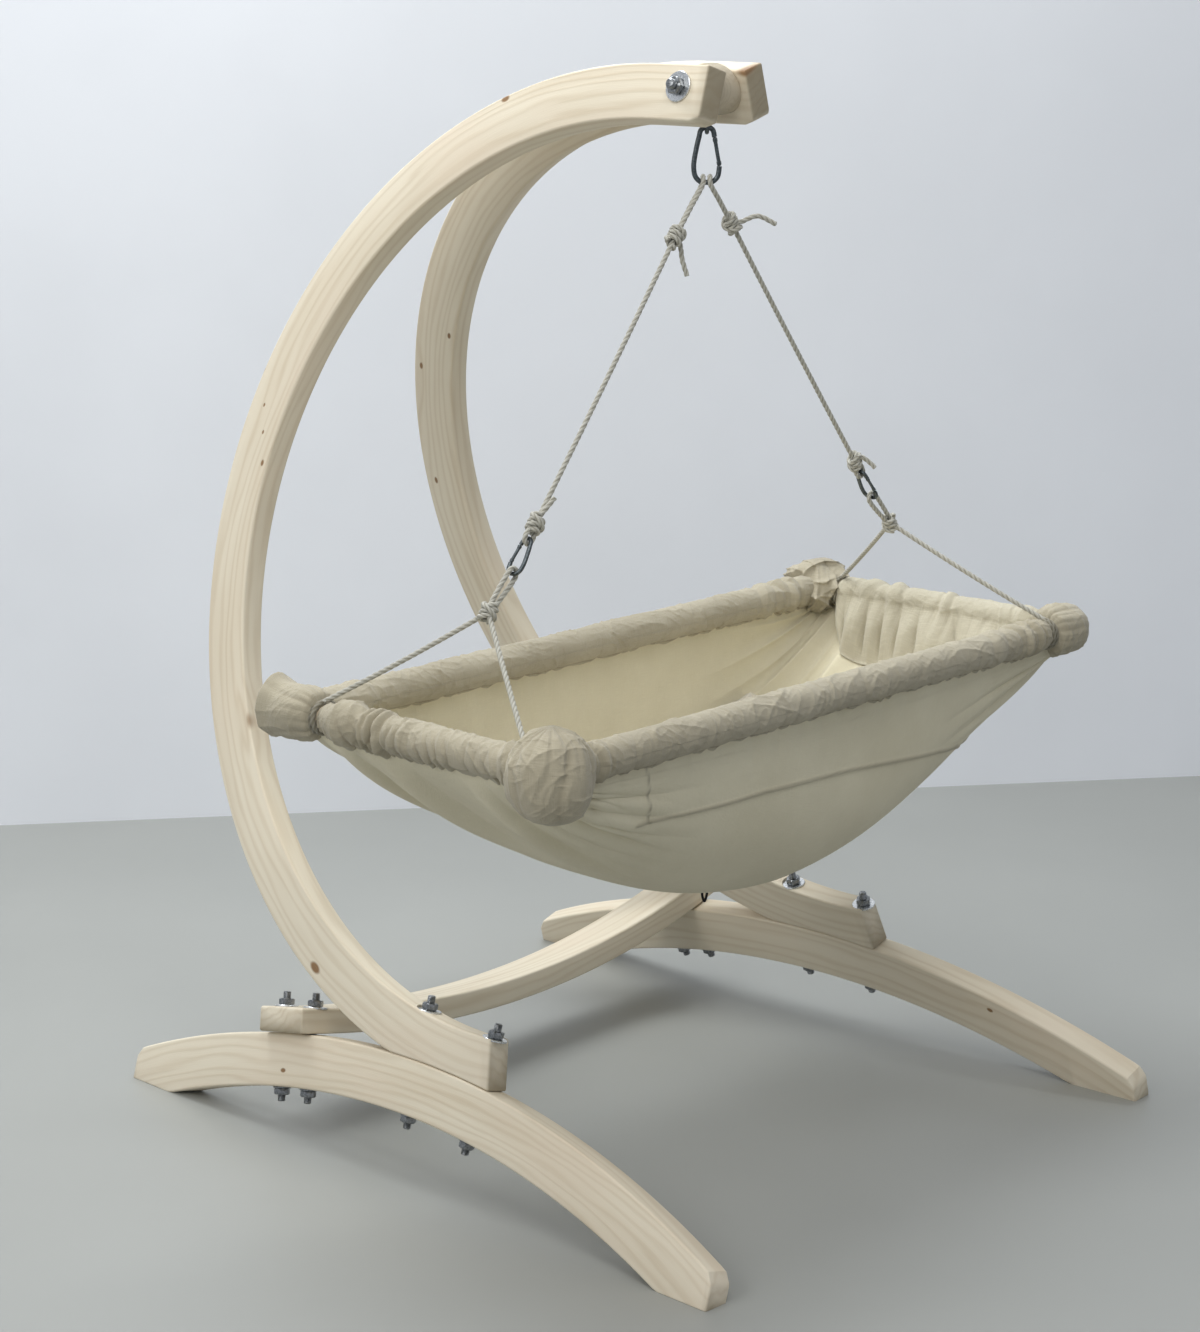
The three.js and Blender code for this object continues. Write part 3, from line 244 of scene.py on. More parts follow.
class Finish:
    """A material under construction."""

    def __init__(self, name, shader):
        self.material = bpy.data.materials.new(name)
        self.material.use_nodes = True
        self.tree = self.material.node_tree
        self.shader = self.tree.nodes["Principled BSDF"]
        for label, value in shader.items():
            self.shader.inputs[label].default_value = value

    def node(self, kind, settings=None, inputs=None, output=0):
        """Adds a node: its settings first, then the values or links of its sockets."""
        made = self.tree.nodes.new(kind)
        for label, value in (settings or {}).items():
            if label == "stops":
                self.set_stops(made.color_ramp.elements, value)
            else:
                setattr(made, label, value)
        for label, value in (inputs or {}).items():
            if isinstance(value, Flow):
                self.tree.links.new(value.socket, made.inputs[label])
            else:
                made.inputs[label].default_value = value
        return Flow(self, made.outputs[output])

    @staticmethod
    def set_stops(elements, stops):
        while len(elements) < len(stops):
            elements.new(0.5)
        for element, (place, colour) in zip(elements, stops):
            element.position = place
            element.color = (*colour, 1)

    def attribute(self, label):
        """A piece's own numbers at its points."""
        return self.node("ShaderNodeAttribute", {"attribute_name": label}, output="Vector")

    def axes(self, vector):
        """The three numbers of a vector."""
        split = self.node("ShaderNodeSeparateXYZ", None, {0: vector})
        return [Flow(self, split.socket.node.outputs[i]) for i in range(3)]

    def vector(self, x, y, z):
        return self.node("ShaderNodeCombineXYZ", None, {0: x, 1: y, 2: z})

    def noise(self, vector, scale, detail=3.0, rough=0.5):
        inputs = {"Vector": vector, "Scale": scale, "Detail": detail, "Roughness": rough}
        return self.node("ShaderNodeTexNoise", None, inputs)

    def mix(self, share, low, high):
        """A colour between two colours."""
        low, high = (end if isinstance(end, Flow) else (*end, 1) for end in (low, high))
        return self.node("ShaderNodeMix", {"data_type": "RGBA"}, {0: share, 6: low, 7: high}, output=2)

    def feed(self, label, value):
        self.tree.links.new(value.socket, self.shader.inputs[label])

    def bump(self, height, distance, strength=1.0):
        """Relief of the given height in metres."""
        inputs = {"Height": height, "Distance": distance, "Strength": strength}
        self.feed("Normal", self.node("ShaderNodeBump", None, inputs))


# %% [markdown]
# ## Pine
# The boards are planed, bent along their length, and pale. Growth rings run with the board as
# fine warm lines, wander a little, and part round a few small brown knots. The finish reads how
# far along, across the depth and through the thickness each point lies, so the grain follows
# every curve. The knots that can be seen are listed by place along, depth and radius. All
# numbers are in metres.


# %% The finish of the boards
SEEN_KNOTS = [
    (0.227, 0.029, 0.004), (1.521, 0.019, 0.006), (0.714, 0.033, 0.0025), (0.752, 0.007, 0.0018),
    (0.784, -0.008, 0.0018), (0.822, -0.024, 0.0028), (3.754, 0.146, 0.003), (3.823, 0.190, 0.003),
    (3.991, 0.184, 0.003), (5.966, 0.327, 0.003), (9.602, 0.526, 0.003),
]


def pine_finish(name, light, dark, knot_share):
    """Rings: a sine of depth and thickness, warped by stretched noise. Knots: rare cells' middles."""
    f = Finish(name, {"Roughness": 0.6, "Specular IOR Level": 0.35})
    along, deep, through = f.axes(f.attribute("grain"))
    stretched = f.vector(along * 1.3, deep * 11.0, through * 11.0)
    wander = f.noise(stretched, 1.6, 3.0)
    cells = f.vector(along * 6.0, deep * 15.0 + through * 2.0, through * 3.0)
    far = f.node("ShaderNodeTexVoronoi", None, {"Vector": cells, "Scale": 1.0, "Randomness": 0.9})
    chance = f.axes(Flow(f, far.socket.node.outputs["Color"]))[0]
    rare = 1 - chance.step(knot_share, knot_share + 0.02)
    knot = (1 - far.step(0.045, 0.12)) * rare
    halo = (1 - far.step(0.1, 0.42)) * rare
    rings = ((deep * 520.0 + through * 260.0 + wander * 34.0 + halo * 5.0).sine() * 0.5 + 0.5) ** 2.2
    broad = f.noise(f.vector(along * 3.0, deep * 30.0, through * 30.0), 1.0, 2.0)
    fibre = f.noise(f.vector(along * 26.0, deep * 1500.0, through * 1500.0), 1.0, 2.0)
    patch = f.noise(f.vector(along * 5.0, deep * 9.0, through * 9.0), 1.0, 2.0)
    tone = (rings * 0.34 + broad.step(0.35, 0.75) * 0.3 + fibre * 0.2 + halo * 0.25).held()
    wood = f.mix(tone, light, dark)
    wood = f.mix(patch.step(0.45, 0.75) * 0.35, wood, (0.74, 0.62, 0.48))
    # Cut ends darkened: partly end grain, partly painted shade on the end faces.
    wood = f.mix(f.axes(f.attribute("sawn"))[0] * 0.8, wood, (0.25, 0.205, 0.13))
    for place, depth, radius in SEEN_KNOTS:
        off = (((along - place) * 0.6) ** 2 + (deep - depth) ** 2) ** 0.5
        knot = (knot + (1 - off.step(radius * 0.6, radius * 1.2))).held()
    core = f.mix(fibre, (0.20, 0.115, 0.055), (0.33, 0.20, 0.10))
    f.feed("Base Color", f.mix(knot, wood, core))
    f.feed("Roughness", 0.5 + 0.18 * fibre + 0.06 * rings)
    f.bump(fibre * 0.6 + rings * 0.5 - knot * 0.8, 0.00025)
    return f.material


PINE = pine_finish("planed_pine", (0.77, 0.70, 0.56), (0.58, 0.48, 0.34), 0.10)
print("pine finish has", len(PINE.node_tree.nodes), "nodes")

# %% [markdown]
# ## Plated steel
# Nuts, washers and threaded rods are zinc plated: bright, faintly mottled, and duller in the
# grooves. The carabiners and the eye are darker drawn wire. Both are fully metallic, and a
# slow noise in the roughness breaks up the reflections as handling does.


# %% The finishes of the metal pieces
def metal_finish(name, bright, dull, rough):
    """Two greys mixed by a fine noise, with roughness that varies a little."""
    f = Finish(name, {"Metallic": 1.0})
    place = f.node("ShaderNodeTexCoord", output="Object")
    mottle = f.noise(place, 420.0, 3.0, 0.6)
    wear = f.noise(place, 90.0, 2.0)
    f.feed("Base Color", f.mix(mottle.step(0.3, 0.7), dull, bright))
    f.feed("Roughness", rough + 0.22 * wear * mottle)
    f.bump(mottle, 0.00004)
    return f.material


ZINC = metal_finish("zinc_plate", (0.83, 0.84, 0.85), (0.60, 0.62, 0.63), 0.22)
WORN_ZINC = metal_finish("oiled_zinc", (0.36, 0.37, 0.38), (0.17, 0.18, 0.19), 0.30)
STEEL = metal_finish("dark_drawn_wire", (0.15, 0.17, 0.18), (0.07, 0.08, 0.085), 0.34)
BLACK_WIRE = metal_finish("black_wire", (0.03, 0.03, 0.032), (0.015, 0.015, 0.016), 0.42)

# %% [markdown]
# ## Canvas and rope
# Unbleached canvas shows a plain weave close up, a scatter of thicker threads, and cream that
# drifts towards grey. Where it hangs in a single layer, daylight comes through; that is painted
# in as a paler copy of the cloth, the folded hems and bundles get a darker copy as painted shade,
# and the gathered right end lies between. The weave reads the cloth's own lengths, carried as an
# attribute, so that it bends with the folds; a third number there darkens seams, and creases and
# fold valleys as painted shade. The rope's strands are real geometry, so its finish adds fibres,
# soil, and painted shade in the grooves between the strands.


# %% The finishes of the soft pieces
def canvas_finish(name, light, dark, pitch=0.0011):
    """Weave: threads over and under as the product of two sines. Slubs: noise stretched both ways."""
    look = {"Roughness": 0.92, "Specular IOR Level": 0.2, "Sheen Weight": 0.2, "Sheen Roughness": 0.5}
    f = Finish(name, look)
    across, along, seams_and_fold_shade = f.axes(f.attribute("cloth"))
    turns = 2 * math.pi / pitch
    weave = ((across * turns).sine() * (along * turns).sine()) * 0.5 + 0.5
    warp = f.noise(f.vector(across * 1300.0, along * 60.0, 0.0), 1.0, 2.0)
    weft = f.noise(f.vector(across * 60.0, along * 1300.0, 3.0), 1.0, 2.0)
    slub = (warp * 0.5 + weft * 0.5).step(0.42, 0.66)
    place = f.node("ShaderNodeTexCoord", output="Object")
    drift = f.noise(place, 7.0, 3.0)
    rumple = f.noise(place, 46.0, 4.0, 0.55)
    tone = (weave * 0.22 + slub * 0.3 + drift.step(0.3, 0.75) * 0.55).held()
    cloth = f.mix(tone, dark, light)
    # The third number darkens seams, and creases and fold valleys as painted shade.
    f.feed("Base Color", f.mix(seams_and_fold_shade, cloth, (0.19, 0.155, 0.10)))
    f.feed("Roughness", 0.86 + 0.1 * slub)
    f.bump(weave * 0.10 + slub * 0.16 + rumple * 1.0, 0.0016)
    return f.material


# One cloth in three brightnesses: darker as painted shade on hems and bundles, paler as painted daylight
# through the single layer, the right end between.
CANVAS = canvas_finish("unbleached_canvas_painted_shade", (0.51, 0.462, 0.350), (0.36, 0.318, 0.228))
THIN_CANVAS = canvas_finish("single_canvas_painted_daylight", (0.78, 0.72, 0.54), (0.66, 0.60, 0.43))
END_CANVAS = canvas_finish("end_canvas_half_shade", (0.60, 0.555, 0.43), (0.43, 0.39, 0.285))
PAD_CLOTH = canvas_finish("mattress_ticking", (0.80, 0.76, 0.66), (0.70, 0.65, 0.54), 0.0008)


def rope_finish(name):
    """Fibres: noise drawn out along the strand's own turn."""
    f = Finish(name, {"Roughness": 0.9, "Specular IOR Level": 0.2, "Sheen Weight": 0.2})
    along, turn, groove_shade = f.axes(f.attribute("lay"))
    fibre = f.noise(f.vector(along * 300.0, turn * 16.0, 0.0), 1.0, 3.0)
    soil = f.noise(f.vector(along * 14.0, turn * 0.6, 5.0), 1.0, 2.0)
    pale = f.mix(soil.step(0.3, 0.75), (0.46, 0.45, 0.39), (0.62, 0.61, 0.55))
    # Grooves between the strands darkened as painted shade; soil is real dirt.
    f.feed("Base Color", f.mix((groove_shade * 0.75 + fibre * 0.22).held(), pale, (0.20, 0.18, 0.13)))
    f.bump(fibre, 0.0003)
    return f.material


ROPE = rope_finish("twisted_cotton_rope")
print("finishes so far:", [material.name for material in bpy.data.materials])

# %% [markdown]
# ## The leaning planes
# Each side's runner and arch lie in a plane that leans inwards and is turned a little about the
# vertical. Points are first laid out flat in that plane, forwards and up, and one matrix then
# places them. The same sizes, in metres, shaped the solids.

# %% The planes of the boards
SHIFT = (0, -0.013896, 0)
THICK = 0.033
DEEP = 0.066
GAP = 0.0003
SIDES = {"left": -1, "right": 1}
RUNNER_LEAN, RUNNER_SPLAY, RUNNER_OUT = 16.4, 1.9, 0.400
ARCH_LEAN, ARCH_SPLAY, ARCH_OUT = 16.1, 1.1, 0.3995


def turn_about_z(angle):
    matrix = np.eye(4)
    matrix[:2, :2] = [[math.cos(angle), -math.sin(angle)], [math.sin(angle), math.cos(angle)]]
    return matrix


def leaning_plane(sign, lean, splay, out):
    """Matrix of a plane: x forwards, y up along the lean, z across, turned by splay and moved out."""
    lean, splay = math.radians(lean), math.radians(splay) * sign
    forwards = np.array([0, -1, 0])
    up = np.array([-sign * math.sin(lean), 0, math.cos(lean)])
    matrix = turn_about_z(splay)
    matrix[:3, :3] = matrix[:3, :3] @ np.column_stack([forwards, up, np.cross(forwards, up)])
    matrix[:3, 3] = np.array([sign * out, 0, 0]) + SHIFT
    return matrix


def placed(matrix, points):
    """Points moved by a matrix."""
    return points @ matrix[:3, :3].T + matrix[:3, 3]


def laid_flat(matrix, points):
    """Points moved back by a matrix that only turns and shifts."""
    return (points - matrix[:3, 3]) @ matrix[:3, :3]


RUNNER_PLANES, ARCH_PLANES = {}, {}
for name, sign in SIDES.items():
    RUNNER_PLANES[name] = leaning_plane(sign, RUNNER_LEAN, RUNNER_SPLAY, RUNNER_OUT)
    ARCH_PLANES[name] = leaning_plane(sign, ARCH_LEAN, ARCH_SPLAY, ARCH_OUT)

# %% [markdown]
# ## Boards with eased edges
# A board is a section carried along its length. The outline gives two rails, the outer and the
# inner edge, and between them runs a rectangle whose corners are rounded with a sander, about
# three millimetres. At each end the section shrinks along the same round, so no edge is sharp.


# %% A board between two rails
EASE = 0.0032


def rounded_section(half_deep, half_thick, ease, steps=4):
    """Ring of (depth, thickness) round a rectangle with rounded corners, for arrays of half sizes."""
    quarter = np.linspace(0, math.pi / 2, steps + 1)
    ring_deep, ring_thick = [], []
    for k, (sd, st) in enumerate([(1, 1), (-1, 1), (-1, -1), (1, -1)]):
        angle = quarter + k * math.pi / 2
        ring_deep.append(sd * (half_deep - ease)[:, None] + ease[:, None] * np.cos(angle))
        ring_thick.append(st * (half_thick - ease)[:, None] + ease[:, None] * np.sin(angle))
    return np.concatenate(ring_deep, 1), np.concatenate(ring_thick, 1)


def board_between(outer, inner, thick, rows, ease=EASE):
    """Rows of rounded sections between two rails of (x, y) points, with rounded ends."""
    middle = (outer + inner) / 2
    run = run_along(middle)
    turn = np.linspace(0, math.pi / 2, 5)
    rise = ease * (1 - np.cos(turn))
    shrink = 0.92 * ease * (1 - np.sin(turn))
    along = np.concatenate([rise, np.linspace(ease, run[-1] - ease, rows)[1:-1], run[-1] - rise[::-1]])
    less = np.concatenate([shrink, np.zeros(rows - 2), shrink[::-1]])
    out = np.stack([np.interp(along, run, outer[:, k]) for k in (0, 1)], -1)
    ins = np.stack([np.interp(along, run, inner[:, k]) for k in (0, 1)], -1)
    centre, half = (out + ins) / 2, np.linalg.norm(out - ins, axis=1) / 2
    way = (out - ins) / (2 * half[:, None])
    deep, across = rounded_section(half - less, np.full(len(less), thick / 2) - less, ease - less)
    flat = centre[:, None] + deep[..., None] * way[:, None]
    return np.concatenate([flat, across[..., None]], -1)


# %% [markdown]
# The arch is a straight top, a long arc and a foot that sits on the runner's crown. Its inner
# rail turns up in a small round at the front of the top. Where the outer arc would sink into the
# runner, the rail rides on the runner's own curve instead.

# %% The rails of an arch and of a runner
ARCH_RADIUS = 0.604
ARCH_MIDDLE = np.array([0.072, 0.734])
ARCH_FRONT = 0.154
FRONT_ROUND = 0.009
FOOT_OUTER, FOOT_INNER = 0.121, 0.109
RUNNER_RADIUS = 1.200
RUNNER_MIDDLE = np.array([0, -1.057])
RUNNER_HALF = 0.500
TIP_ROUND = 0.010
SOLE = -0.0059


def round_off(past, radius):
    """How far a round of this radius falls away, past its start: r - sqrt(r^2 - past^2)."""
    return radius - np.sqrt(np.maximum(radius**2 - np.maximum(past, 0) ** 2, 0))


def runner_top(along, radius=RUNNER_RADIUS):
    """Height of the runner's curve: the circle's middle plus the root of radius^2 - along^2."""
    return RUNNER_MIDDLE[1] + np.sqrt(radius**2 - along**2)


def arc_rail(radius, angle):
    return ARCH_MIDDLE + radius * np.stack([np.cos(angle), np.sin(angle)], -1)


def arch_rails(count=150):
    """Outer and inner rail from the front of the top, back along it and round to the foot."""
    share = np.linspace(0, 1, 24)[:-1, None]
    inner_radius = ARCH_RADIUS - DEEP
    front = ARCH_FRONT + (ARCH_MIDDLE[0] - ARCH_FRONT) * share
    top_out = np.concatenate([front, np.full_like(front, ARCH_MIDDLE[1] + ARCH_RADIUS)], 1)
    lift = round_off(front - ARCH_FRONT + FRONT_ROUND, FRONT_ROUND)
    top_in = np.concatenate([front, ARCH_MIDDLE[1] + inner_radius + lift], 1)
    turn = np.linspace(0, 1, count)
    last_out = 1.5 * math.pi + math.asin((FOOT_OUTER - ARCH_MIDDLE[0]) / ARCH_RADIUS)
    last_in = 1.5 * math.pi + math.asin((FOOT_INNER - ARCH_MIDDLE[0]) / inner_radius)
    arc_out = arc_rail(ARCH_RADIUS, math.pi / 2 + (last_out - math.pi / 2) * turn)
    arc_in = arc_rail(inner_radius, math.pi / 2 + (last_in - math.pi / 2) * turn)
    near = (arc_out[:, 1] < 0.2) & (np.abs(arc_out[:, 0]) < 0.4)
    seat = runner_top(np.where(near, arc_out[:, 0], 0)) + GAP
    arc_out[:, 1] = np.where(near, np.maximum(arc_out[:, 1], seat), arc_out[:, 1])
    return np.concatenate([top_out, arc_out]), np.concatenate([top_in, arc_in])


def runner_rails(count=140):
    """Top and bottom of a runner. The bottom is the lower arc, or the sole where it meets the floor."""
    x = np.linspace(-RUNNER_HALF, RUNNER_HALF, count)
    top = runner_top(x) - round_off(np.abs(x) - (RUNNER_HALF - TIP_ROUND), TIP_ROUND)
    bottom = np.maximum(runner_top(x, RUNNER_RADIUS - DEEP), SOLE)
    return np.stack([x, top], -1), np.stack([x, bottom], -1)


outer_rail, inner_rail = arch_rails()
top_rail, bottom_rail = runner_rails()
print("arch rails:", outer_rail.shape, "runner rails:", top_rail.shape)

# %% [markdown]
# The washers sit in small flats that are milled into the curved wood. Those flats are cut with
# Blender's Boolean modifier, which is then applied, and the grain's numbers are worked out
# afterwards from each point's place: how far round the arc it lies, and how deep in the board.


# %% Cutting and measuring wood
# How far from a cut end the end grain and painted shade reach, in metres.
END_SHADE_REACH = 0.002


def cut_away(piece, cutters):
    """Takes closed cutters out of a piece for good."""
    for cutter in cutters:
        modifier = piece.modifiers.new("milled", "BOOLEAN")
        modifier.operation = "DIFFERENCE"
        modifier.solver = "EXACT"
        modifier.object = cutter
    bpy.context.view_layer.update()
    done = piece.evaluated_get(bpy.context.evaluated_depsgraph_get())
    mesh = bpy.data.meshes.new_from_object(done)
    piece.modifiers.clear()
    piece.data = mesh
    for cutter in cutters:
        bpy.data.objects.remove(cutter)


def cutter_from(part):
    """A plain object for cut_away."""
    verts, quads, tris = facing_out(part)
    mesh = bpy.data.meshes.new("cutter")
    mesh.from_pydata(verts.tolist(), [], quads.tolist() + tris.tolist())
    return in_scene("cutter", mesh)


def points_of(piece):
    co = np.zeros(len(piece.data.vertices) * 3, np.float32)
    piece.data.vertices.foreach_get("co", co)
    return co.reshape(-1, 3).astype(float)


def give_grain(piece, along, deep, through, seed):
    """The grain's numbers, shifted by seed so that no two boards show the same knots, and how close
    each point is to a cut end, which the finish darkens: end grain, with painted shade on the end faces."""
    mesh = piece.data
    moved = np.stack([along + 3.1 * seed, deep + 0.17 * seed, through + 0.07 * seed], -1)
    give_values(mesh, "grain", moved)
    # Closeness to a cut end, for the darker end grain and painted shade there.
    sawn = np.exp(-(np.minimum(along - along.min(), along.max() - along) / END_SHADE_REACH))
    give_values(mesh, "sawn", np.repeat(sawn, 3))
    mesh.shade_smooth()
    mesh.set_sharp_from_angle(angle=math.radians(30))


def arch_grain(flat):
    """Along: straight on the top, then round the arc. Deep: out from the arc's middle line."""
    x, y = (flat[:, :2] - ARCH_MIDDLE).T
    mid = ARCH_RADIUS - DEEP / 2
    straight = (x > 0) & (y > 0)
    angle = np.mod(np.arctan2(y, x) - math.pi / 2, 2 * math.pi)
    angle = np.where(angle > 1.6 * math.pi, 0, angle)
    return np.where(straight, -x, mid * angle), np.where(straight, y, np.hypot(x, y)) - mid, flat[:, 2]


def runner_grain(flat):
    x, y = (flat[:, :2] - RUNNER_MIDDLE).T
    return RUNNER_RADIUS * np.arctan2(x, y), np.hypot(x, y) - RUNNER_RADIUS + DEEP / 2, flat[:, 2]


# %% [markdown]
# Every bolt through a runner stands square to the crown. A small matrix gives that place for a
# distance along the runner, with its own y axis pointing out of the wood. Each stud's washer
# seats as low as the curved foot allows.

# %% Where the studs stand
STUDS = {"stretcher_rear": -0.251, "stretcher_front": -0.201, "foot_rear": -0.012, "foot_front": 0.097}
STRETCHER_THICK = 0.031
WASHER_HALF = 0.015


def on_runner(along):
    """Matrix in the plane of the runner: shifted to its top and turned square to its curve."""
    angle = math.asin(along / RUNNER_RADIUS)
    matrix = np.eye(4)
    matrix[:2, :2] = [[math.cos(angle), math.sin(angle)], [-math.sin(angle), math.cos(angle)]]
    matrix[:2, 3] = along, runner_top(along)
    return matrix


def seat_height(stud):
    """The washer's seat over the crown: the stretcher's top, or the lowest the foot's curve gives."""
    if stud.startswith("stretcher"):
        return STRETCHER_THICK
    along = STUDS[stud]
    angle = math.asin(along / RUNNER_RADIUS)
    offset = np.array([-1, 0, 1]) * (WASHER_HALF + GAP)
    radius = ARCH_RADIUS - DEEP
    surface = ARCH_MIDDLE[1] - np.sqrt(radius**2 - (along + offset - ARCH_MIDDLE[0]) ** 2)
    level = surface - runner_top(along) + offset * math.tan(angle)
    return float(level.min()) * math.cos(angle) - GAP


def turned(profile, around, hexagon=None, thread=None):
    """A turned part about its y axis from rows of (radius, height). A hexagon trims the radius to its
    flats, and a thread (pitch, depth) sinks it in a helix."""
    radius, height = np.array(profile, float).T
    angle = full_turn(around)
    grid = np.repeat(radius[:, None], around, 1)
    if thread:
        pitch, depth = thread
        phase = np.mod(height[:, None] / pitch - angle / (2 * math.pi), 1)
        grid = grid - depth * np.abs(2 * phase - 1) * (radius[:, None] > 1e-5)
    if hexagon:
        sector = np.mod(angle, math.pi / 3) - math.pi / 6
        grid = np.minimum(grid, hexagon / 2 / np.cos(sector))
    y = np.repeat(height[:, None], around, 1)
    return np.stack([grid * np.cos(angle), y, grid * np.sin(angle)], -1)


pocket = closed_tube(turned([(WASHER_HALF + GAP, 0), (WASHER_HALF + GAP, 0.05)], 40))
print("washer seats, mm:", {stud: round(seat_height(stud) * 1000, 1) for stud in STUDS})


# %% The arches and the runners
def milled_pockets(name, studs):
    """Cutters for the flats under these studs' washers on one side."""
    cutters = []
    for stud in studs:
        verts, quads, tris = pocket
        raised = verts + [0, seat_height(stud), 0]
        world = placed(RUNNER_PLANES[name], placed(on_runner(STUDS[stud]), raised))
        cutters.append(cutter_from((world, quads, tris)))
    return cutters


for number, name in enumerate(SIDES):
    plane = ARCH_PLANES[name]
    points = board_between(outer_rail, inner_rail, THICK, 150)
    part = outward_tube(placed(plane, points))
    arch = make_piece(f"arch_board_{name}", [part], PINE, "stand", [f"arch_{name}"])
    cut_away(arch, milled_pockets(name, ["foot_rear", "foot_front"]))
    give_grain(arch, *arch_grain(laid_flat(plane, points_of(arch))), number)

    plane = RUNNER_PLANES[name]
    points = placed(plane, board_between(top_rail, bottom_rail, THICK, 140))
    up = plane[:3, 1]
    points = points + np.maximum(-points[..., 2:], 0) / up[2] * up
    part = outward_tube(points)
    runner = make_piece(f"runner_board_{name}", [part], PINE, "stand", [f"runner_{name}"])
    give_grain(runner, *runner_grain(laid_flat(plane, points_of(runner))), number + 2)

# %% [markdown]
# ## The stretcher
# A flat board, sawn to a long hollow curve, joins the two runners behind their crowns. It is
# tilted back to lie along their tops. Its rails are two circles about one middle.

# %% The stretcher
STRETCHER_BACK = 0.226
STRETCHER_RADIUS = 1.450
STRETCHER_WIDE = 0.079
STRETCHER_OVERHANG = 0.015


def stretcher_frame():
    """Matrix of the stretcher: x across the cradle, y up square to it, z back along the runners, and
    the height of the middle of its circles in that frame."""
    seat = placed(RUNNER_PLANES["right"], np.array([-STRETCHER_BACK, runner_top(-STRETCHER_BACK), 0]))
    half_angle = math.asin(seat[0] / STRETCHER_RADIUS)
    lift = 2 * GAP + THICK / 2 * math.tan(abs(math.radians(RUNNER_LEAN) - half_angle))
    slope = math.asin(STRETCHER_BACK / RUNNER_RADIUS)
    matrix = np.eye(4)
    matrix[:3, 1] = 0, math.sin(slope), math.cos(slope)
    matrix[:3, 2] = 0, -math.cos(slope), math.sin(slope)
    matrix[:3, 3] = 0, seat[1], seat[2] + lift
    return matrix, STRETCHER_RADIUS * math.cos(half_angle), half_angle


matrix, middle_up, half_angle = stretcher_frame()
end = half_angle + (THICK / 2 + STRETCHER_OVERHANG) / STRETCHER_RADIUS
sweep_angle = np.linspace(-end, end, 90)


def stretcher_rail(radius):
    return np.stack([radius * np.sin(sweep_angle), middle_up - radius * np.cos(sweep_angle)], -1)


upper_rail = stretcher_rail(STRETCHER_RADIUS - STRETCHER_THICK)
points = board_between(upper_rail, stretcher_rail(STRETCHER_RADIUS), STRETCHER_WIDE, 90)
part = outward_tube(placed(matrix, points))
stretcher = make_piece("stretcher_board", [part], PINE, "stand", ["stretcher"])
cutters = [c for name in SIDES for c in milled_pockets(name, ["stretcher_rear", "stretcher_front"])]
cut_away(stretcher, cutters)
flat = laid_flat(matrix, points_of(stretcher))
distance = np.hypot(flat[:, 0], flat[:, 1] - middle_up)
give_grain(stretcher, flat[:, 0], distance - STRETCHER_RADIUS + STRETCHER_THICK / 2, flat[:, 2], 5)

# %% [markdown]
# ## Nuts, washers and rods
# A nut is a cylinder cut by its hexagon: where the turned chamfer is smaller than the flats, the
# corners come out rounded, as on a real nut. The rod's thread is a helix sunk into the grid.

# %% Studs with their nuts and washers
ROD = 0.005
NUT = 0.017
NUT_HIGH = 0.008
WASHER_THICK = 0.0025
THREAD = (0.0015, 0.0007)
ROD_OUT = 0.009
FLANGE_HALF = 0.011
FLANGE_THICK = 0.002
LOWER_ROD_OUT = 0.008


def nut_part(flats, bore, low, high):
    """A hexagon nut as a closed ring of section rows."""
    corner, crown = flats / math.sqrt(3), flats * 0.475
    ease = (high - low) * 0.13
    rows = [(bore, low), (crown, low), (corner, low + ease)]
    rows += [(corner, high - ease), (crown, high), (bore, high)]
    return ring_tube(turned(rows, 60, hexagon=flats))


def washer_part(outer, bore, low, high):
    """A flat ring with eased edges."""
    ease = (high - low) * 0.2
    rows = [(bore, low), (outer - ease, low), (outer, low + ease)]
    rows += [(outer, high - ease), (outer - ease, high), (bore, high)]
    return ring_tube(turned(rows, 60))


def rod_end(radius, low, high):
    """A threaded end with a chamfer."""
    count = int((high - low) / 0.0003)
    height = np.linspace(low, high, count)
    taper = np.minimum(1, 0.75 + (high - height) / 0.004)
    rows = np.stack([radius * taper, height], -1)
    return closed_tube(turned(rows, 30, thread=THREAD))


def hardware(name, parts, matrix, stands_for, finish=WORN_ZINC):
    """A metal piece from parts about their own y axis."""
    moved = [facing_out((placed(matrix, verts), quads, tris)) for verts, quads, tris in parts]
    return make_piece(name, moved, finish, "stand", stands_for, crease=40)


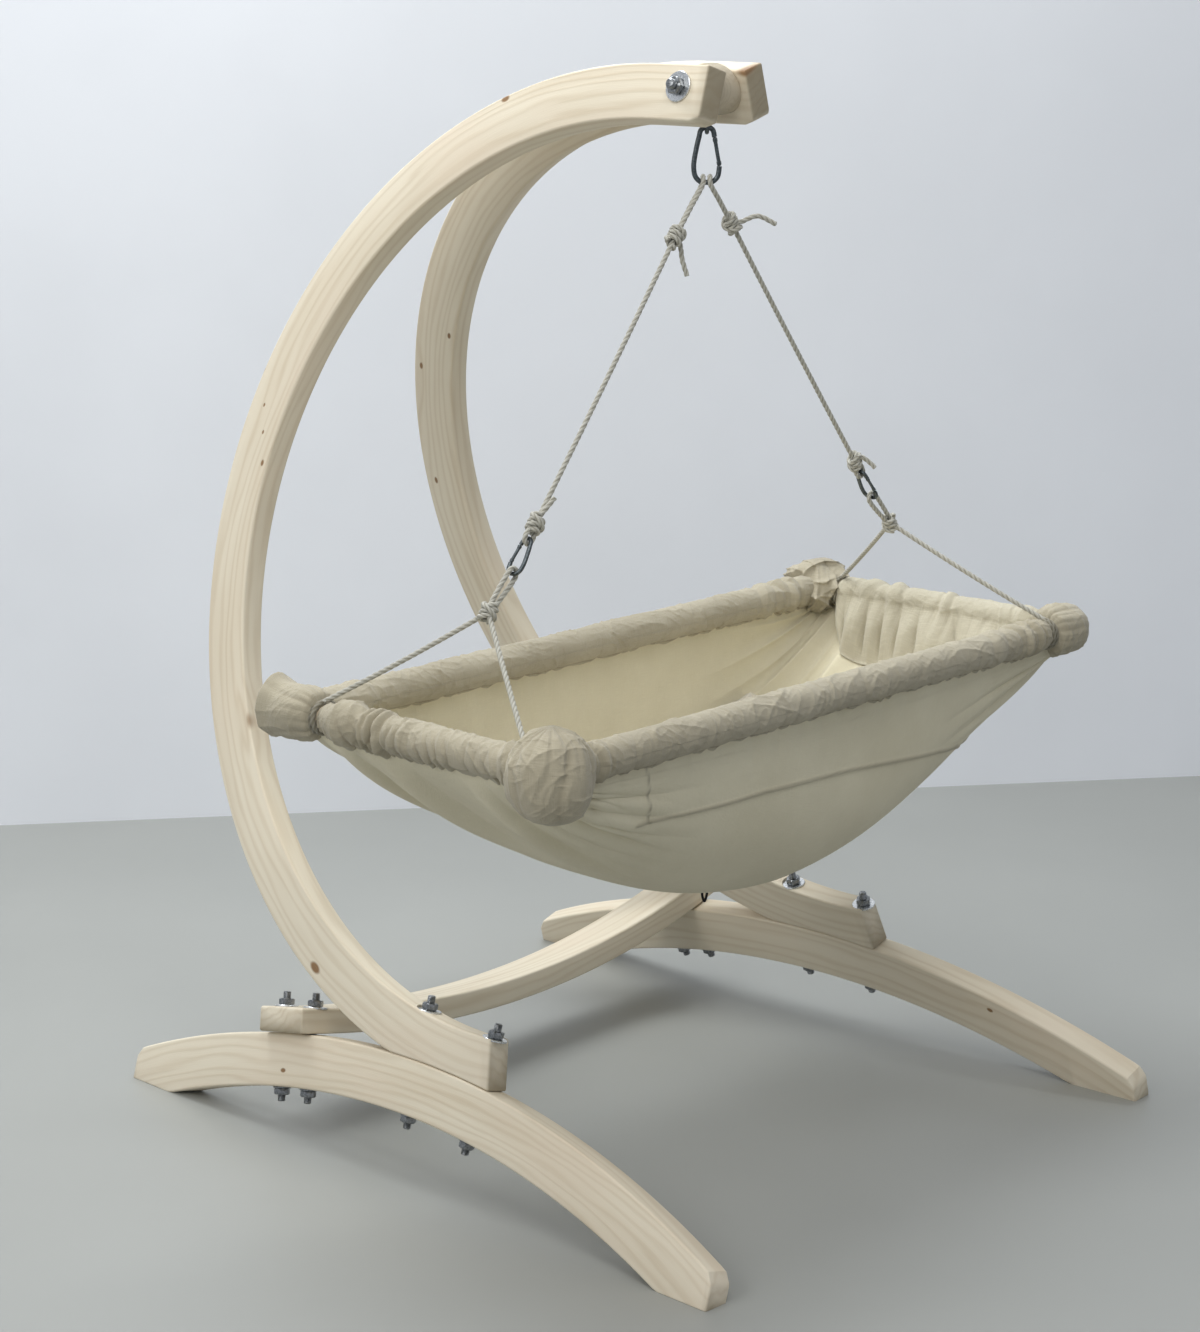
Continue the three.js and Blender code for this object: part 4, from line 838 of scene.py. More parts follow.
for name in SIDES:
    for stud, along in STUDS.items():
        matrix = RUNNER_PLANES[name] @ on_runner(along)
        washer_low = seat_height(stud) + GAP
        washer_high = washer_low + WASHER_THICK
        nut_low = washer_high + GAP
        nut_high = nut_low + NUT_HIGH
        under = -DEEP - GAP
        flange = under - FLANGE_THICK
        lower_nut = flange - NUT_HIGH
        tag = f"{name}_{stud}"
        rod = [rod_end(ROD, nut_low - 0.002, nut_high + ROD_OUT), nut_part(NUT, ROD, lower_nut, flange)]
        rod.append(washer_part(FLANGE_HALF, ROD, flange, under))
        shank = turned([(ROD * 0.9, lower_nut - 0.001), (ROD * 0.9, nut_low)], 20)
        rod.append(closed_tube(shank))
        flip = np.diag([1.0, -1.0, 1.0, 1.0])
        verts, quads, tris = rod_end(ROD, -(lower_nut + 0.002), -(lower_nut - LOWER_ROD_OUT))
        rod.append((placed(flip, verts), quads, tris))
        hardware(f"rod_{tag}", rod, matrix, [f"stud_{tag}"])
        disc = washer_part(WASHER_HALF, ROD + GAP, washer_low, washer_high)
        hardware(f"disc_{tag}", [disc], matrix, [f"washer_{tag}"], ZINC)
        hardware(f"hexagon_{tag}", [nut_part(NUT, ROD + GAP, nut_low, nut_high)], matrix, [f"nut_{tag}"])

# %% [markdown]
# ## The joined tops
# One thick bolt goes through each arch's top into a round hardwood block between them. The
# block's faces are cut to the arches' lean, and a steel eye is screwed up into it.

# %% Top bolts, the block and the eye
BOLT_FRONT = 0.115
BOLT_UP = 1.311
BOLT = 0.006
BOLT_NUT = 0.019
BOLT_OUT = 0.015
BROAD_HALF = 0.018
BLOCK_HALF = 0.030
EYE_OFFSET = (0, 0.004, -0.041)
EYE_WIRE = 0.0025
EYE_RADIUS = 0.0085
HANGER_TURN = math.radians(-47)

for name, sign in SIDES.items():
    outwards = -sign
    matrix = np.eye(4)
    matrix[:3, 1] = 0, 0, outwards
    matrix[:3, 2] = 0, -outwards, 0
    matrix[:3, 3] = BOLT_FRONT, BOLT_UP, 0
    matrix = ARCH_PLANES[name] @ matrix
    face = THICK / 2 + GAP
    head = face + WASHER_THICK + GAP
    bolt = [nut_part(BOLT_NUT, BOLT - 0.0005, head, head + NUT_HIGH)]
    bolt.append(rod_end(BOLT, head - 0.001, head + BOLT_OUT))
    hardware(f"bolt_{name}", bolt, matrix, [f"top_bolt_{name}"])
    disc = washer_part(BROAD_HALF, BOLT + GAP, face, face + WASHER_THICK)
    hardware(f"broad_disc_{name}", [disc], matrix, [f"top_washer_{name}"], ZINC)

left_bolt = placed(ARCH_PLANES["left"], np.array([BOLT_FRONT, BOLT_UP, 0]))
BLOCK_MIDDLE = np.array([0, left_bolt[1], left_bolt[2]])
EYE = BLOCK_MIDDLE + EYE_OFFSET
print("block middle:", np.round(BLOCK_MIDDLE, 4), "eye:", np.round(EYE, 4))


def block_points(around=72, rows=9):
    """A disc about the x axis whose two faces follow the arches' leaning inner sides."""
    angle = full_turn(around)
    shares = np.linspace(-1, 1, rows)
    ease = 1 - 0.04 * np.abs(shares) ** 6
    y = BLOCK_MIDDLE[1] + BLOCK_HALF * np.outer(ease, np.cos(angle))
    z = BLOCK_MIDDLE[2] + BLOCK_HALF * np.outer(ease, np.sin(angle))
    outline = BLOCK_MIDDLE + BLOCK_HALF * np.stack([0 * angle, np.cos(angle), np.sin(angle)], -1)
    reach = []
    for name, sign in SIDES.items():
        normal = -sign * ARCH_PLANES[name][:3, 2]
        away = ARCH_PLANES[name][:3, 3] - normal * (THICK / 2 + 2 * GAP)
        reach.append(((away - outline) @ normal) / normal[0])
    x = reach[0] + (reach[1] - reach[0]) * ((shares + 1) / 2)[:, None]
    return np.stack([x, y, z], -1)


points = block_points()
# A darker copy of the pine: painted shade from the arches on either side of the block.
PINE_IN_PAINTED_SHADE = pine_finish("turned_pine_painted_shade", (0.50, 0.44, 0.33), (0.37, 0.31, 0.21), 0.0)
block = make_piece("round_block", [outward_tube(points)], PINE_IN_PAINTED_SHADE, "stand", ["top_block"])
flat = points_of(block)
give_grain(block, flat[:, 2], flat[:, 1] * 3, flat[:, 0] * 3, 7)

# %% [markdown]
# ## Paths
# Wires and ropes are tubes along a path. The path goes smoothly through a few chosen points: a
# centripetal Catmull-Rom curve, which doesn't overshoot in tight bends. It is then read off at
# even steps. A fixed side vector keeps the tube from twisting.


# %% Tubes along a path
def smooth_path(points, step, per=16):
    """Even steps along the curve. Each stretch is a cubic: x1 + t1 u + (..)u^2 + (..)u^3."""
    p = np.array(points, float)
    q = np.concatenate([[2 * p[0] - p[1]], p, [2 * p[-1] - p[-2]]])
    x0, x1, x2, x3 = (q[k : len(q) - 3 + k, None] for k in range(4))
    d = np.sqrt(np.linalg.norm(np.diff(q, axis=0), axis=1))[:, None, None]
    d0, d1, d2 = d[:-2], d[1:-1], d[2:]
    t1 = ((x1 - x0) / d0 - (x2 - x0) / (d0 + d1) + (x2 - x1) / d1) * d1
    t2 = ((x2 - x1) / d1 - (x3 - x1) / (d1 + d2) + (x3 - x2) / d2) * d1
    u = np.linspace(0, 1, per, endpoint=False)[None, :, None]
    curve = x1 + t1 * u + (3 * x2 - 3 * x1 - 2 * t1 - t2) * u**2 + (2 * x1 - 2 * x2 + t1 + t2) * u**3
    return even_steps(np.concatenate([curve.reshape(-1, 3), p[-1:]]), step)


def even_steps(path, step):
    """The same path at steps of equal length."""
    run = run_along(path)
    count = max(3, int(round(run[-1] / step)) + 1)
    at = np.linspace(0, run[-1], count)
    return np.stack([np.interp(at, run, path[:, k]) for k in range(3)], -1)


def unit(vectors):
    return vectors / np.maximum(np.linalg.norm(vectors, axis=-1, keepdims=True), 1e-12)


def rings_along(path, side, radius):
    """Rings of radius (a number, or one per row and column) round a path."""
    ahead = unit(np.gradient(path, axis=0))
    outwards = unit(np.cross(ahead, np.broadcast_to(side, path.shape)))
    third = np.cross(ahead, outwards)
    around = np.shape(radius)[1] if np.ndim(radius) == 2 else 16
    angle = full_turn(around)[None, :, None]
    reach = np.broadcast_to(radius, (len(path), around))[..., None]
    return path[:, None] + reach * (np.cos(angle) * outwards[:, None] + np.sin(angle) * third[:, None])


# %% [markdown]
# ## The eye and the carabiners
# The eye is a ring of wire under the block. Each carabiner is a pear of wire that is open on
# one side, with a straight gate across the opening. The gate has a thicker, rounded collar at
# each end. A pin through the upper one belongs to the body, and the gate turns on it.

# %% The hanging hardware
HANG_Y = EYE[1]
FIT = 0.0009
BIG = {"height": 0.070, "width": 0.036, "wire": 0.006, "top": 0.009}
SMALL = {"height": 0.050, "width": 0.025, "wire": 0.005, "top": 0.007}
# Each row gives x in half widths and top radii, then y in half widths, top radii and drops.
PEAR_SHARES = np.array([
    [1, 0, 1.25, 0, 1], [0.86, 0, 0.45, 0, 1], [0.45, 0, 0.05, 0, 1], [0, 0, 0, 0, 1],
    [-0.45, 0, 0.05, 0, 1], [-0.86, 0, 0.45, 0, 1], [-1, 0, 1.25, 0, 1], [-0.5, -0.5, 0.5, 0, 0.5],
    [0, -1, 0, -1.3, 0], [0, -0.75, 0, -0.4, 0], [0, 0, 0, 0, 0], [0, 0.75, 0, -0.4, 0], [0, 1, 0, -1.3, 0],
])


def ring_of_wire(middle, turn, radius, wire):
    angle = full_turn(48)
    outward = np.stack([np.cos(angle), 0 * angle, np.sin(angle)], -1)[:, None]
    tube = full_turn(16)[None, :, None]
    points = radius * outward + wire * (np.cos(tube) * outward + np.sin(tube) * [0, 1, 0])
    matrix = turn_about_z(turn)
    matrix[:3, 3] = middle
    return placed(matrix, points)


ring = ring_tube(ring_of_wire(EYE, HANGER_TURN + math.pi / 2, EYE_RADIUS, EYE_WIRE))
stalk = [EYE + [0, 0, EYE_RADIUS + 0.001], EYE + [0, 0, 0.026]]
shank = closed_tube(rings_along(even_steps(np.array(stalk), 0.002), [1, 0, 0], EYE_WIRE))
eye_parts = [facing_out(part) for part in (ring, shank)]
make_piece("eye_of_wire", eye_parts, STEEL, "stand", ["hanger_eye"])


def pear(size):
    """The wire's path and its two ends, hanging down -y from the middle of its top bend."""
    half = (size["width"] - size["wire"]) / 2
    low = -(size["height"] - size["wire"])
    a, b, c, d, e = PEAR_SHARES.T
    points = np.stack([a * half + b * size["top"], c * half + d * size["top"] + e * low, 0 * a], -1)
    return smooth_path(points, 0.0008), points[0], points[-1]


def carabiner(size, matrix):
    """Its body with the pin, and its gate, as closed parts."""
    path, foot, head = pear(size)
    wire = size["wire"]
    body = closed_tube(placed(matrix, rings_along(path, [0, 0, 1], wire / 2)))
    length = np.linalg.norm(head - foot)
    collar = 0.47 * wire
    at = np.linspace(GAP, length - GAP, 90)
    near = np.minimum(at, length - at) - GAP
    dome = np.sqrt(1 - (1 - np.minimum(1, (near + GAP) / collar)) ** 2)
    radius = np.minimum(collar * dome, wire * np.where(near < wire * 0.9, 0.47, 0.38))
    line = foot + (head - foot) * (at / length)[:, None]
    gate = closed_tube(placed(matrix, rings_along(line, [0, 0, 1], radius[:, None] * np.ones(16))))
    pin_at = head + (foot - head) / length * collar
    pin_line = pin_at + np.linspace(-0.56, 0.56, 8)[:, None] * wire * np.array([0, 0, 1.0])
    pin = closed_tube(placed(matrix, rings_along(pin_line, [1, 0, 0], 0.16 * wire)))
    return [facing_out(body), facing_out(pin)], facing_out(gate)


big_top = EYE[2] - EYE_RADIUS + EYE_WIRE + BIG["wire"] / 2 + FIT
stand_up = np.array([[1, 0, 0, 0], [0, 0, -1, 0], [0, 1, 0, 0], [0, 0, 0, 1.0]])
matrix = turn_about_z(HANGER_TURN)
matrix[:3, 3] = 0, HANG_Y, big_top
body, gate = carabiner(BIG, matrix @ stand_up)
make_piece("large_snap_hook", body, STEEL, "hanger", ["big_carabiner"])
make_piece("large_snap_gate", [gate], STEEL, "big_gate", ["big_gate"])

LOWER_KNOT = (0.292, 0.788)
SMALL_FOOT = (0.329, 0.737)
BRIDLE_KNOT = (0.368, 0.699)


def small_frame(sign):
    """Foot, head and direction of a small carabiner."""
    foot = np.array([sign * SMALL_FOOT[0], HANG_Y, SMALL_FOOT[1]])
    knot = np.array([sign * LOWER_KNOT[0], HANG_Y, LOWER_KNOT[1]])
    up = unit(knot - foot)
    return foot, foot + up * (SMALL["height"] - SMALL["wire"]), up, knot


for name, sign in SIDES.items():
    _, head, up, _ = small_frame(sign)
    matrix = np.eye(4)
    matrix[:3, 0] = 0, -sign, 0
    matrix[:3, 1] = up
    matrix[:3, 2] = np.cross(matrix[:3, 0], up)
    matrix[:3, 3] = head
    body, gate = carabiner(SMALL, matrix)
    make_piece(f"snap_hook_{name}", body, STEEL, "ropes", [f"small_carabiner_{name}"])
    make_piece(f"snap_gate_{name}", [gate], STEEL, f"small_gate_{name}", [f"small_gate_{name}"])

# %% [markdown]
# ## Rope
# Three strands twist round each other. Seen end on, the outline of three touching circles is
# `r = R cos(a)`, with a the angle to the nearest strand's middle, so that one formula gives the
# strands and the grooves between them. Turning it with the distance gives the lay.

# %% Twisted rope and its knots
ROPE_HALF = 0.0031
ROPE_STEP = 0.0011
ROPE_SAG = 0.002
LAY = 0.024
KNOT_SIZE = 0.0125
LOOP_ROOT = 0.27 * KNOT_SIZE
HALF_ROOT = math.sqrt(0.5)
BEND = [(1, 0), (HALF_ROOT, HALF_ROOT), (0, 1), (-HALF_ROOT, HALF_ROOT), (-1, 0)]


def rope_part(path, side, half=ROPE_HALF, around=18):
    """A closed length of rope, with (distance, turn, groove shade) at its points. The groove shade is
    painted shade between the strands. Its cotton strands are soft and press together, so half of the
    radius stays round."""
    run = run_along(path)
    angle = full_turn(around)
    twist = angle[None] - 2 * math.pi * run[:, None] / LAY
    strand = np.mod(twist, 2 * math.pi / 3) - math.pi / 3
    radius = half * (0.45 + 0.55 * np.cos(strand))
    lay = np.stack([np.repeat(run[:, None], around, 1), twist * 3, np.abs(strand) ** 3], -1)
    part = outward_tube(rings_along(path, side, radius))
    return part, np.concatenate([lay.reshape(-1, 3), lay[0, :1], lay[-1, :1]])


def rope_through(points, side):
    return rope_part(smooth_path(points, ROPE_STEP), side)


def straight_rope(start, end, side):
    """A taut length that sags by less than its own thickness."""
    share = np.linspace(0, 1, max(8, int(np.linalg.norm(end - start) / 0.0012)))
    path = start + (end - start) * share[:, None]
    path[:, 2] -= ROPE_SAG * 4 * share * (1 - share)
    return rope_part(path, side)


def knot_parts(middle, direction, seed):
    """Three slanting turns of rope round the strands, ends tucked in, a little different each time."""
    axis = unit(np.asarray(direction, float))
    first = unit(np.cross(axis, [0, 1, 0.3]))
    second = np.cross(axis, first)

    def wound(height, angle, reach, half=ROPE_HALF):
        height, angle, reach = height[:, None], angle[:, None], reach[:, None]
        path = middle + height * axis + reach * (np.cos(angle) * first + np.sin(angle) * second)
        return rope_part(even_steps(path, ROPE_STEP), axis, half)

    turn = np.linspace(0, 1, 120)
    angle = 2 * math.pi * (3.2 * turn + 0.31 * seed)
    ends = np.minimum(1, np.minimum(turn, 1 - turn) / 0.10)
    reach = 0.42 * KNOT_SIZE + 0.05 * KNOT_SIZE * np.sin(2 * angle + seed)
    radius = 0.13 * KNOT_SIZE + reach * np.sin(ends * math.pi / 2)
    height = KNOT_SIZE * (1.65 * (turn - 0.5) + 0.22 * np.cos(angle + seed))
    back = 2 * math.pi * (0.8 * turn + 0.5 + 0.31 * seed)
    lean = KNOT_SIZE * (0.66 + 0.09 * np.sin(3 * turn))
    return [wound(height, angle, radius),
            wound(1.45 * KNOT_SIZE * (0.5 - turn), back, lean, 0.92 * ROPE_HALF)]


def rope_piece(name, lengths, body, stands_for):
    parts = [part for part, _ in lengths]
    lay = np.concatenate([data for _, data in lengths])
    return make_piece(name, parts, ROPE, body, stands_for, {"lay": lay}, crease=0)


UPPER_KNOTS = {"left": (-0.055, 1.093), "right": (0.046, 1.102)}
TAILS = {
    "left": {"upper": [(8, 0, -8), (13, 0, -28), (17, -4, -46)],
             "lower": [(6, -2, 9), (14, -6, 19), (22, -10, 29)]},
    "right": {"upper": [(8, -8, 2), (26, -18, 8), (46, -30, -2)],
              "lower": [(2, -8, 6), (10, -14, 0), (16, -20, -8)]},
}


def loop_round(bar, up, wire, knot):
    """A loop from a knot round a wire that crosses the hanging plane."""
    clear = wire / 2 + ROPE_HALF + FIT
    across = np.array([up[2], 0, -up[0]])
    away = -1 if (knot - bar) @ up > 0 else 1
    bend = [bar + across * side * clear + up * away * rise * clear for side, rise in BEND]
    root = across * LOOP_ROOT
    return [knot + root, *bend, knot - root]


def tail(middle, offsets):
    """A loose end's points, from offsets in millimetres."""
    return [middle, *(middle + np.array(offset) / 1000 for offset in offsets)]


big_foot = big_top - (BIG["height"] - BIG["wire"])
wide = np.array([math.cos(HANGER_TURN), math.sin(HANGER_TURN), 0])
through = np.array([-wide[1], wide[0], 0])
for number, (name, sign) in enumerate(SIDES.items()):
    _, head, up, lower = small_frame(sign)
    upper = np.array([UPPER_KNOTS[name][0], HANG_Y, UPPER_KNOTS[name][1]])
    seat = np.array([0, HANG_Y, big_foot]) + wide * sign * (ROPE_HALF + FIT)
    clear = BIG["wire"] / 2 + ROPE_HALF + FIT
    waist = upper + (seat - upper) * 0.55
    bend = [seat + through * clear * side + np.array([0, 0, clear]) * rise for side, rise in BEND]
    loop = [upper + through * LOOP_ROOT, waist + through * clear, *bend,
            waist - through * clear, upper - through * LOOP_ROOT]
    way = unit(lower - upper)
    lengths = [rope_through(loop, wide), straight_rope(upper, lower, [0, 1, 0])]
    lengths.append(rope_through(loop_round(head, up, SMALL["wire"], lower), [0, 1, 0]))
    lengths += knot_parts(upper, way, 2 * number) + knot_parts(lower, way, 2 * number + 1)
    lengths.append(rope_through(tail(upper, TAILS[name]["upper"]), [0.3, 1, 0.2]))
    lengths.append(rope_through(tail(lower, TAILS[name]["lower"]), [0.3, 1, 0.2]))
    rope_piece(f"rope_{name}", lengths, "ropes", [f"upper_rope_{name}"])

# %% [markdown]
# ## The basket's frame
# Four dowels make the rectangle that the cloth hangs from. A short rope is tied round them near
# each corner. These bridles gather to one knot at each end of the basket.

# %% Bridles and lashings
LONG = 0.947
WIDE = 0.391
BAR_UP = 0.571
BAR = 0.014
LASH = 0.036
CORNERS = {"front_left": (-1, -1), "rear_left": (-1, 1), "front_right": (1, -1), "rear_right": (1, 1)}


def corner_place(corner):
    sx, sy = CORNERS[corner]
    return np.array([sx * LONG / 2, HANG_Y + sy * WIDE / 2, BAR_UP])


def lash_place(corner):
    """The middle of a lashing on its bar, and the bar's direction away from the corner."""
    sx, sy = CORNERS[corner]
    run = np.array([-sx, 0, 0]) if corner == "front_right" else np.array([0, -sy, 0])
    return corner_place(corner) + run * LASH, run.astype(float)


def lashing(corner):
    """Two turns round the bar, starting from the top where the bridle's leg comes in. They sink into a
    groove of cloth, so their groove shade value is raised: painted shade over the whole lashing."""
    middle, run = lash_place(corner)
    turn = np.linspace(0, 1, 200)
    angle = 2 * math.pi * 2 * turn
    side = np.cross(run, [0, 0, 1])
    reach = BAR + ROPE_HALF + 2 * GAP
    path = middle + run * (4 * ROPE_HALF * (turn - 0.5))[:, None]
    path = path + reach * (np.cos(angle)[:, None] * np.array([0, 0, 1]) + np.sin(angle)[:, None] * side)
    part, lay = rope_part(even_steps(path, ROPE_STEP), run)
    # Painted shade: the lashing drawn dark, as if shadowed in the cloth's groove.
    return part, lay + [0, 0, 0.9]


for name, sign in SIDES.items():
    foot, _, up, _ = small_frame(sign)
    knot = np.array([sign * BRIDLE_KNOT[0], HANG_Y, BRIDLE_KNOT[1]])
    lengths = [rope_through(loop_round(foot, up, SMALL["wire"], knot), [0, 1, 0])]
    lengths += knot_parts(knot, up, 5 + sign)
    for corner, (sx, sy) in CORNERS.items():
        if sx == sign:
            middle, run = lash_place(corner)
            top = middle + [0, 0, BAR + ROPE_HALF + 2 * GAP]
            lengths += [straight_rope(knot, top, [1, 0, 0]), lashing(corner)]
    rope_piece(f"bridle_rope_{name}", lengths, "basket", [f"bridle_{name}"])

DOWEL = pine_finish("pine_dowel", (0.78, 0.66, 0.48), (0.60, 0.46, 0.29), 0.0)
for node in ("long_bar_front", "long_bar_rear", "short_bar_left", "short_bar_right"):
    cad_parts[node].data.materials.clear()
    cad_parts[node].data.materials.append(DOWEL)
print("bars dressed in", DOWEL.name)

# %% [markdown]
# ## The trough
# One width of canvas hangs from the sleeves in the shape of a boat. Its sections are flattened
# curves that stay full at the sides, and its keel rises to the ends, where the cloth falls in
# folds from the short bars. A long crease and a gusset seam show on the front. Rows are set
# closer together near the rims, where the section turns fastest.

# %% The hanging cloth
SLEEVE = 0.023
DEPTH = 0.240
RIM = BAR_UP - SLEEVE - GAP
FOLD = 0.005
CLOTH_THICK = 0.0012
GATHER, DRAPE, FAN, SLACK = 0.0034, 0.0095, 0.0070, 0.0022
CREASE_HIGH, SEAM_HIGH = 0.0022, 0.0012


def crests(x, power):
    """|sin x|^power: soft crests of 1 between narrow valleys of 0."""
    return np.abs(np.sin(x)) ** power


def trough_place(u, v, inset=0.0):
    """u along from -1 to 1, v across from 1 (rear) to -1 (front): a superellipse of power 3, as deep
    as (1 - |u|^1.7)^0.85, with a fold near the ends that dies out at the bars."""
    half_long, half_wide = LONG / 2 - inset, WIDE / 2 - inset
    deep = (DEPTH - inset) * (1 - np.abs(u) ** 1.7) ** 0.85
    angle = (1 - v) * math.pi / 2
    y = np.sign(np.cos(angle)) * np.abs(np.cos(angle)) ** (2 / 3) * half_wide
    fall = np.abs(np.sin(angle)) ** (2 / 3)
    near = np.maximum(0, (np.abs(u) - 0.55) / 0.45)
    fold = FOLD * 2.6 * near * (1 - near * near) * np.cos(7 * math.pi * v) * fall
    return np.stack([u * half_long - np.sign(u) * fold, HANG_Y + y + 0 * u, RIM - deep * fall + fold], -1)


def trough_ripples(u, v):
    """Small height of the cloth over its smooth shape, metres, towards the outside: gathers under
    the sleeves, drapes at the ends, fans under the front left bundle, and slack in between."""
    edge = np.exp(-((1 - np.abs(v)) ** 0.67) / 0.09)
    gathers = (crests(31 * u + 1.5 * np.sin(5 * u) + 2 * v, 0.8) - 0.6) * edge * GATHER
    ends = np.maximum(0, np.abs(u) - 0.45) / 0.55
    bent = 8 * math.pi * v + 1.1 * np.sin(3 * v + 2) + 2 * u
    drapes = (crests(bent, 0.8) - 0.6) * ends * (1 - ends**4) * DRAPE
    turn = np.arctan2((1 + v) * 0.9, (1 + u) + 0.02)
    spread = np.hypot((1 + v) * 0.9, 1 + u)
    fans = (crests(11 * turn + 0.5, 0.7) - 0.6) * np.exp(-spread / 0.22) * FAN
    slack = SLACK * np.sin(3.1 * u + 5 * v) * np.sin(7 * u - 3 * v + 1)
    return gathers + drapes + fans + slack


CREASE = [
    (-0.330, 0.480), (-0.311, 0.481), (-0.250, 0.4785), (-0.194, 0.477), (-0.120, 0.4775), (-0.051, 0.474),
    (0.045, 0.4695), (0.145, 0.462), (0.230, 0.455), (0.302, 0.446), (0.380, 0.452),
]
GUSSET_X = -0.326


def front_marks(points):
    """The crease and the gusset seam on the front, as heights of 0 to 1."""
    x, y, z = np.moveaxis(points, -1, 0)
    front = y < HANG_Y
    run = np.array(CREASE)
    level = np.interp(x, run[:, 0], run[:, 1])
    inside = (x > run[0, 0]) & (x < run[-1, 0])
    crease = np.exp(-(((z - level) / 0.0022) ** 2)) * inside * front
    gusset = np.exp(-(((x - GUSSET_X - (0.545 - z) * 0.25) / 0.0016) ** 2)) * (z > 0.478) * front
    return crease, gusset


u = np.sin(math.pi / 2 * np.linspace(-0.998, 0.998, 300))[:, None]
even = np.linspace(-1, 1, 280)[None]
v = -np.sign(even) * (1 - (1 - np.abs(even)) ** 1.5)
points = trough_place(u, v)
lengthways = np.gradient(points, axis=0)
crossways = np.gradient(points, axis=1)
outwards = unit(np.cross(crossways, lengthways))
outwards = outwards * np.sign((outwards * [0, 0, -1]).sum(-1).mean())
crease, gusset = front_marks(points)
relief = trough_ripples(u, v) + CREASE_HIGH * crease + SEAM_HIGH * gusset
points = points + outwards * relief[..., None]
points[..., 2] += 0.004 * np.exp(-(1 - np.abs(v)) / 0.01) + 0.004 * np.exp(-(1 - np.abs(u)) / 0.006)
step_long = np.cumsum(np.linalg.norm(np.diff(points, axis=0, prepend=points[:1]), axis=2), axis=0)
step_wide = np.cumsum(np.linalg.norm(np.diff(points, axis=1, prepend=points[:, :1]), axis=2), axis=1)
# The crease is darkened as painted shade, the gusset seam as a dark seam line.
cloth = np.stack([step_wide, step_long, 0.55 * crease + 0.6 * gusset], -1).reshape(-1, 3)
trough = make_piece("canvas_trough", [open_sheet(points)], THIN_CANVAS, "basket", ["trough"],
                    {"cloth": cloth}, crease=0)
shell = trough.modifiers.new("cloth_thickness", "SOLIDIFY")
shell.thickness = CLOTH_THICK
shell.offset = 0
hem_row = points[np.abs(u[:, 0] - 0.885).argmin()]
print("the cloth's middle width and length:", np.round([step_wide[150, -1], step_long[-1, 140]], 3))

# %% [markdown]
# ## Sleeves
# The cloth's edges are hemmed into tunnels round the bars, over a little padding. Pushed
# together along the bars, the tunnels ruffle: wide soft puffs with narrow valleys between
# them, which `|sin|^0.7` draws. Finer creases cross them. They are ridges of sines in many
# directions, bent by other sines, so that they meet in webs as real creases do. A few deep
# folds are placed where the real ones are. At the right end the sleeve's lower side
# hangs down inside the trough.

# %% Gathered sleeves
def creases(points, seed, pitch=0.030, height=0.0016, waves=7):
    """Metres of height: sum of (1 - |sin(k.p + bend)|)^3 over random directions k, ever finer."""
    rng = np.random.default_rng(seed)
    total = np.zeros(points.shape[:-1])
    for step in range(waves):
        size = pitch * 0.82**step
        way, bend_way, patch_way = unit(rng.normal(size=(3, 3)))
        phases = rng.uniform(0, 6, 3)
        bend = 1.5 * np.sin(points @ bend_way * (2.2 / size) + phases[0])
        crest = (1 - np.abs(np.sin(points @ way * (math.pi / size) + bend + phases[1]))) ** 3
        patch = np.clip(0.35 + 0.9 * np.sin(points @ patch_way * (1.7 / size) + phases[2]), 0, 1)
        total += height * 0.86**step * patch * (crest - 0.12)
    return total


def puffs(along, angle, pitch, seed):
    """0 in the narrow valleys between puffs, 1 on their crests, at uneven steps along a bar."""
    uneven = 1.3 * np.sin(along * 37 + seed) + 0.7 * np.sin(along * 97 + 2 * seed)
    lean = 0.8 * np.sin(angle + along * 29 + seed) + 0.45 * np.sin(2 * angle - along * 47)
    return crests(math.pi * along / pitch + uneven + lean, 0.7)


def pleats(along, angle, table):
    """Deep folds round a sleeve: rows of (place, half width, height, slant), all in metres."""
    total = 0 * along * angle
    for place, half, height, slant in table:
        off = (along - place - slant * np.cos(angle)) / half
        total = total + height * (np.exp(-(off**2)) - 0.6 * np.exp(-((np.abs(off) - 1.6) ** 2) * 4))
    return total


def cloth_tube(name, points, node, cloth, finish):
    """A closed, padded tube of cloth from rows of rings."""
    cloth = np.concatenate([cloth.reshape(-1, 3), cloth[0, :1], cloth[-1, :1]])
    part = outward_tube(points)
    made = make_piece(name, [part], finish, "basket", [node], {"cloth": cloth}, crease=0)


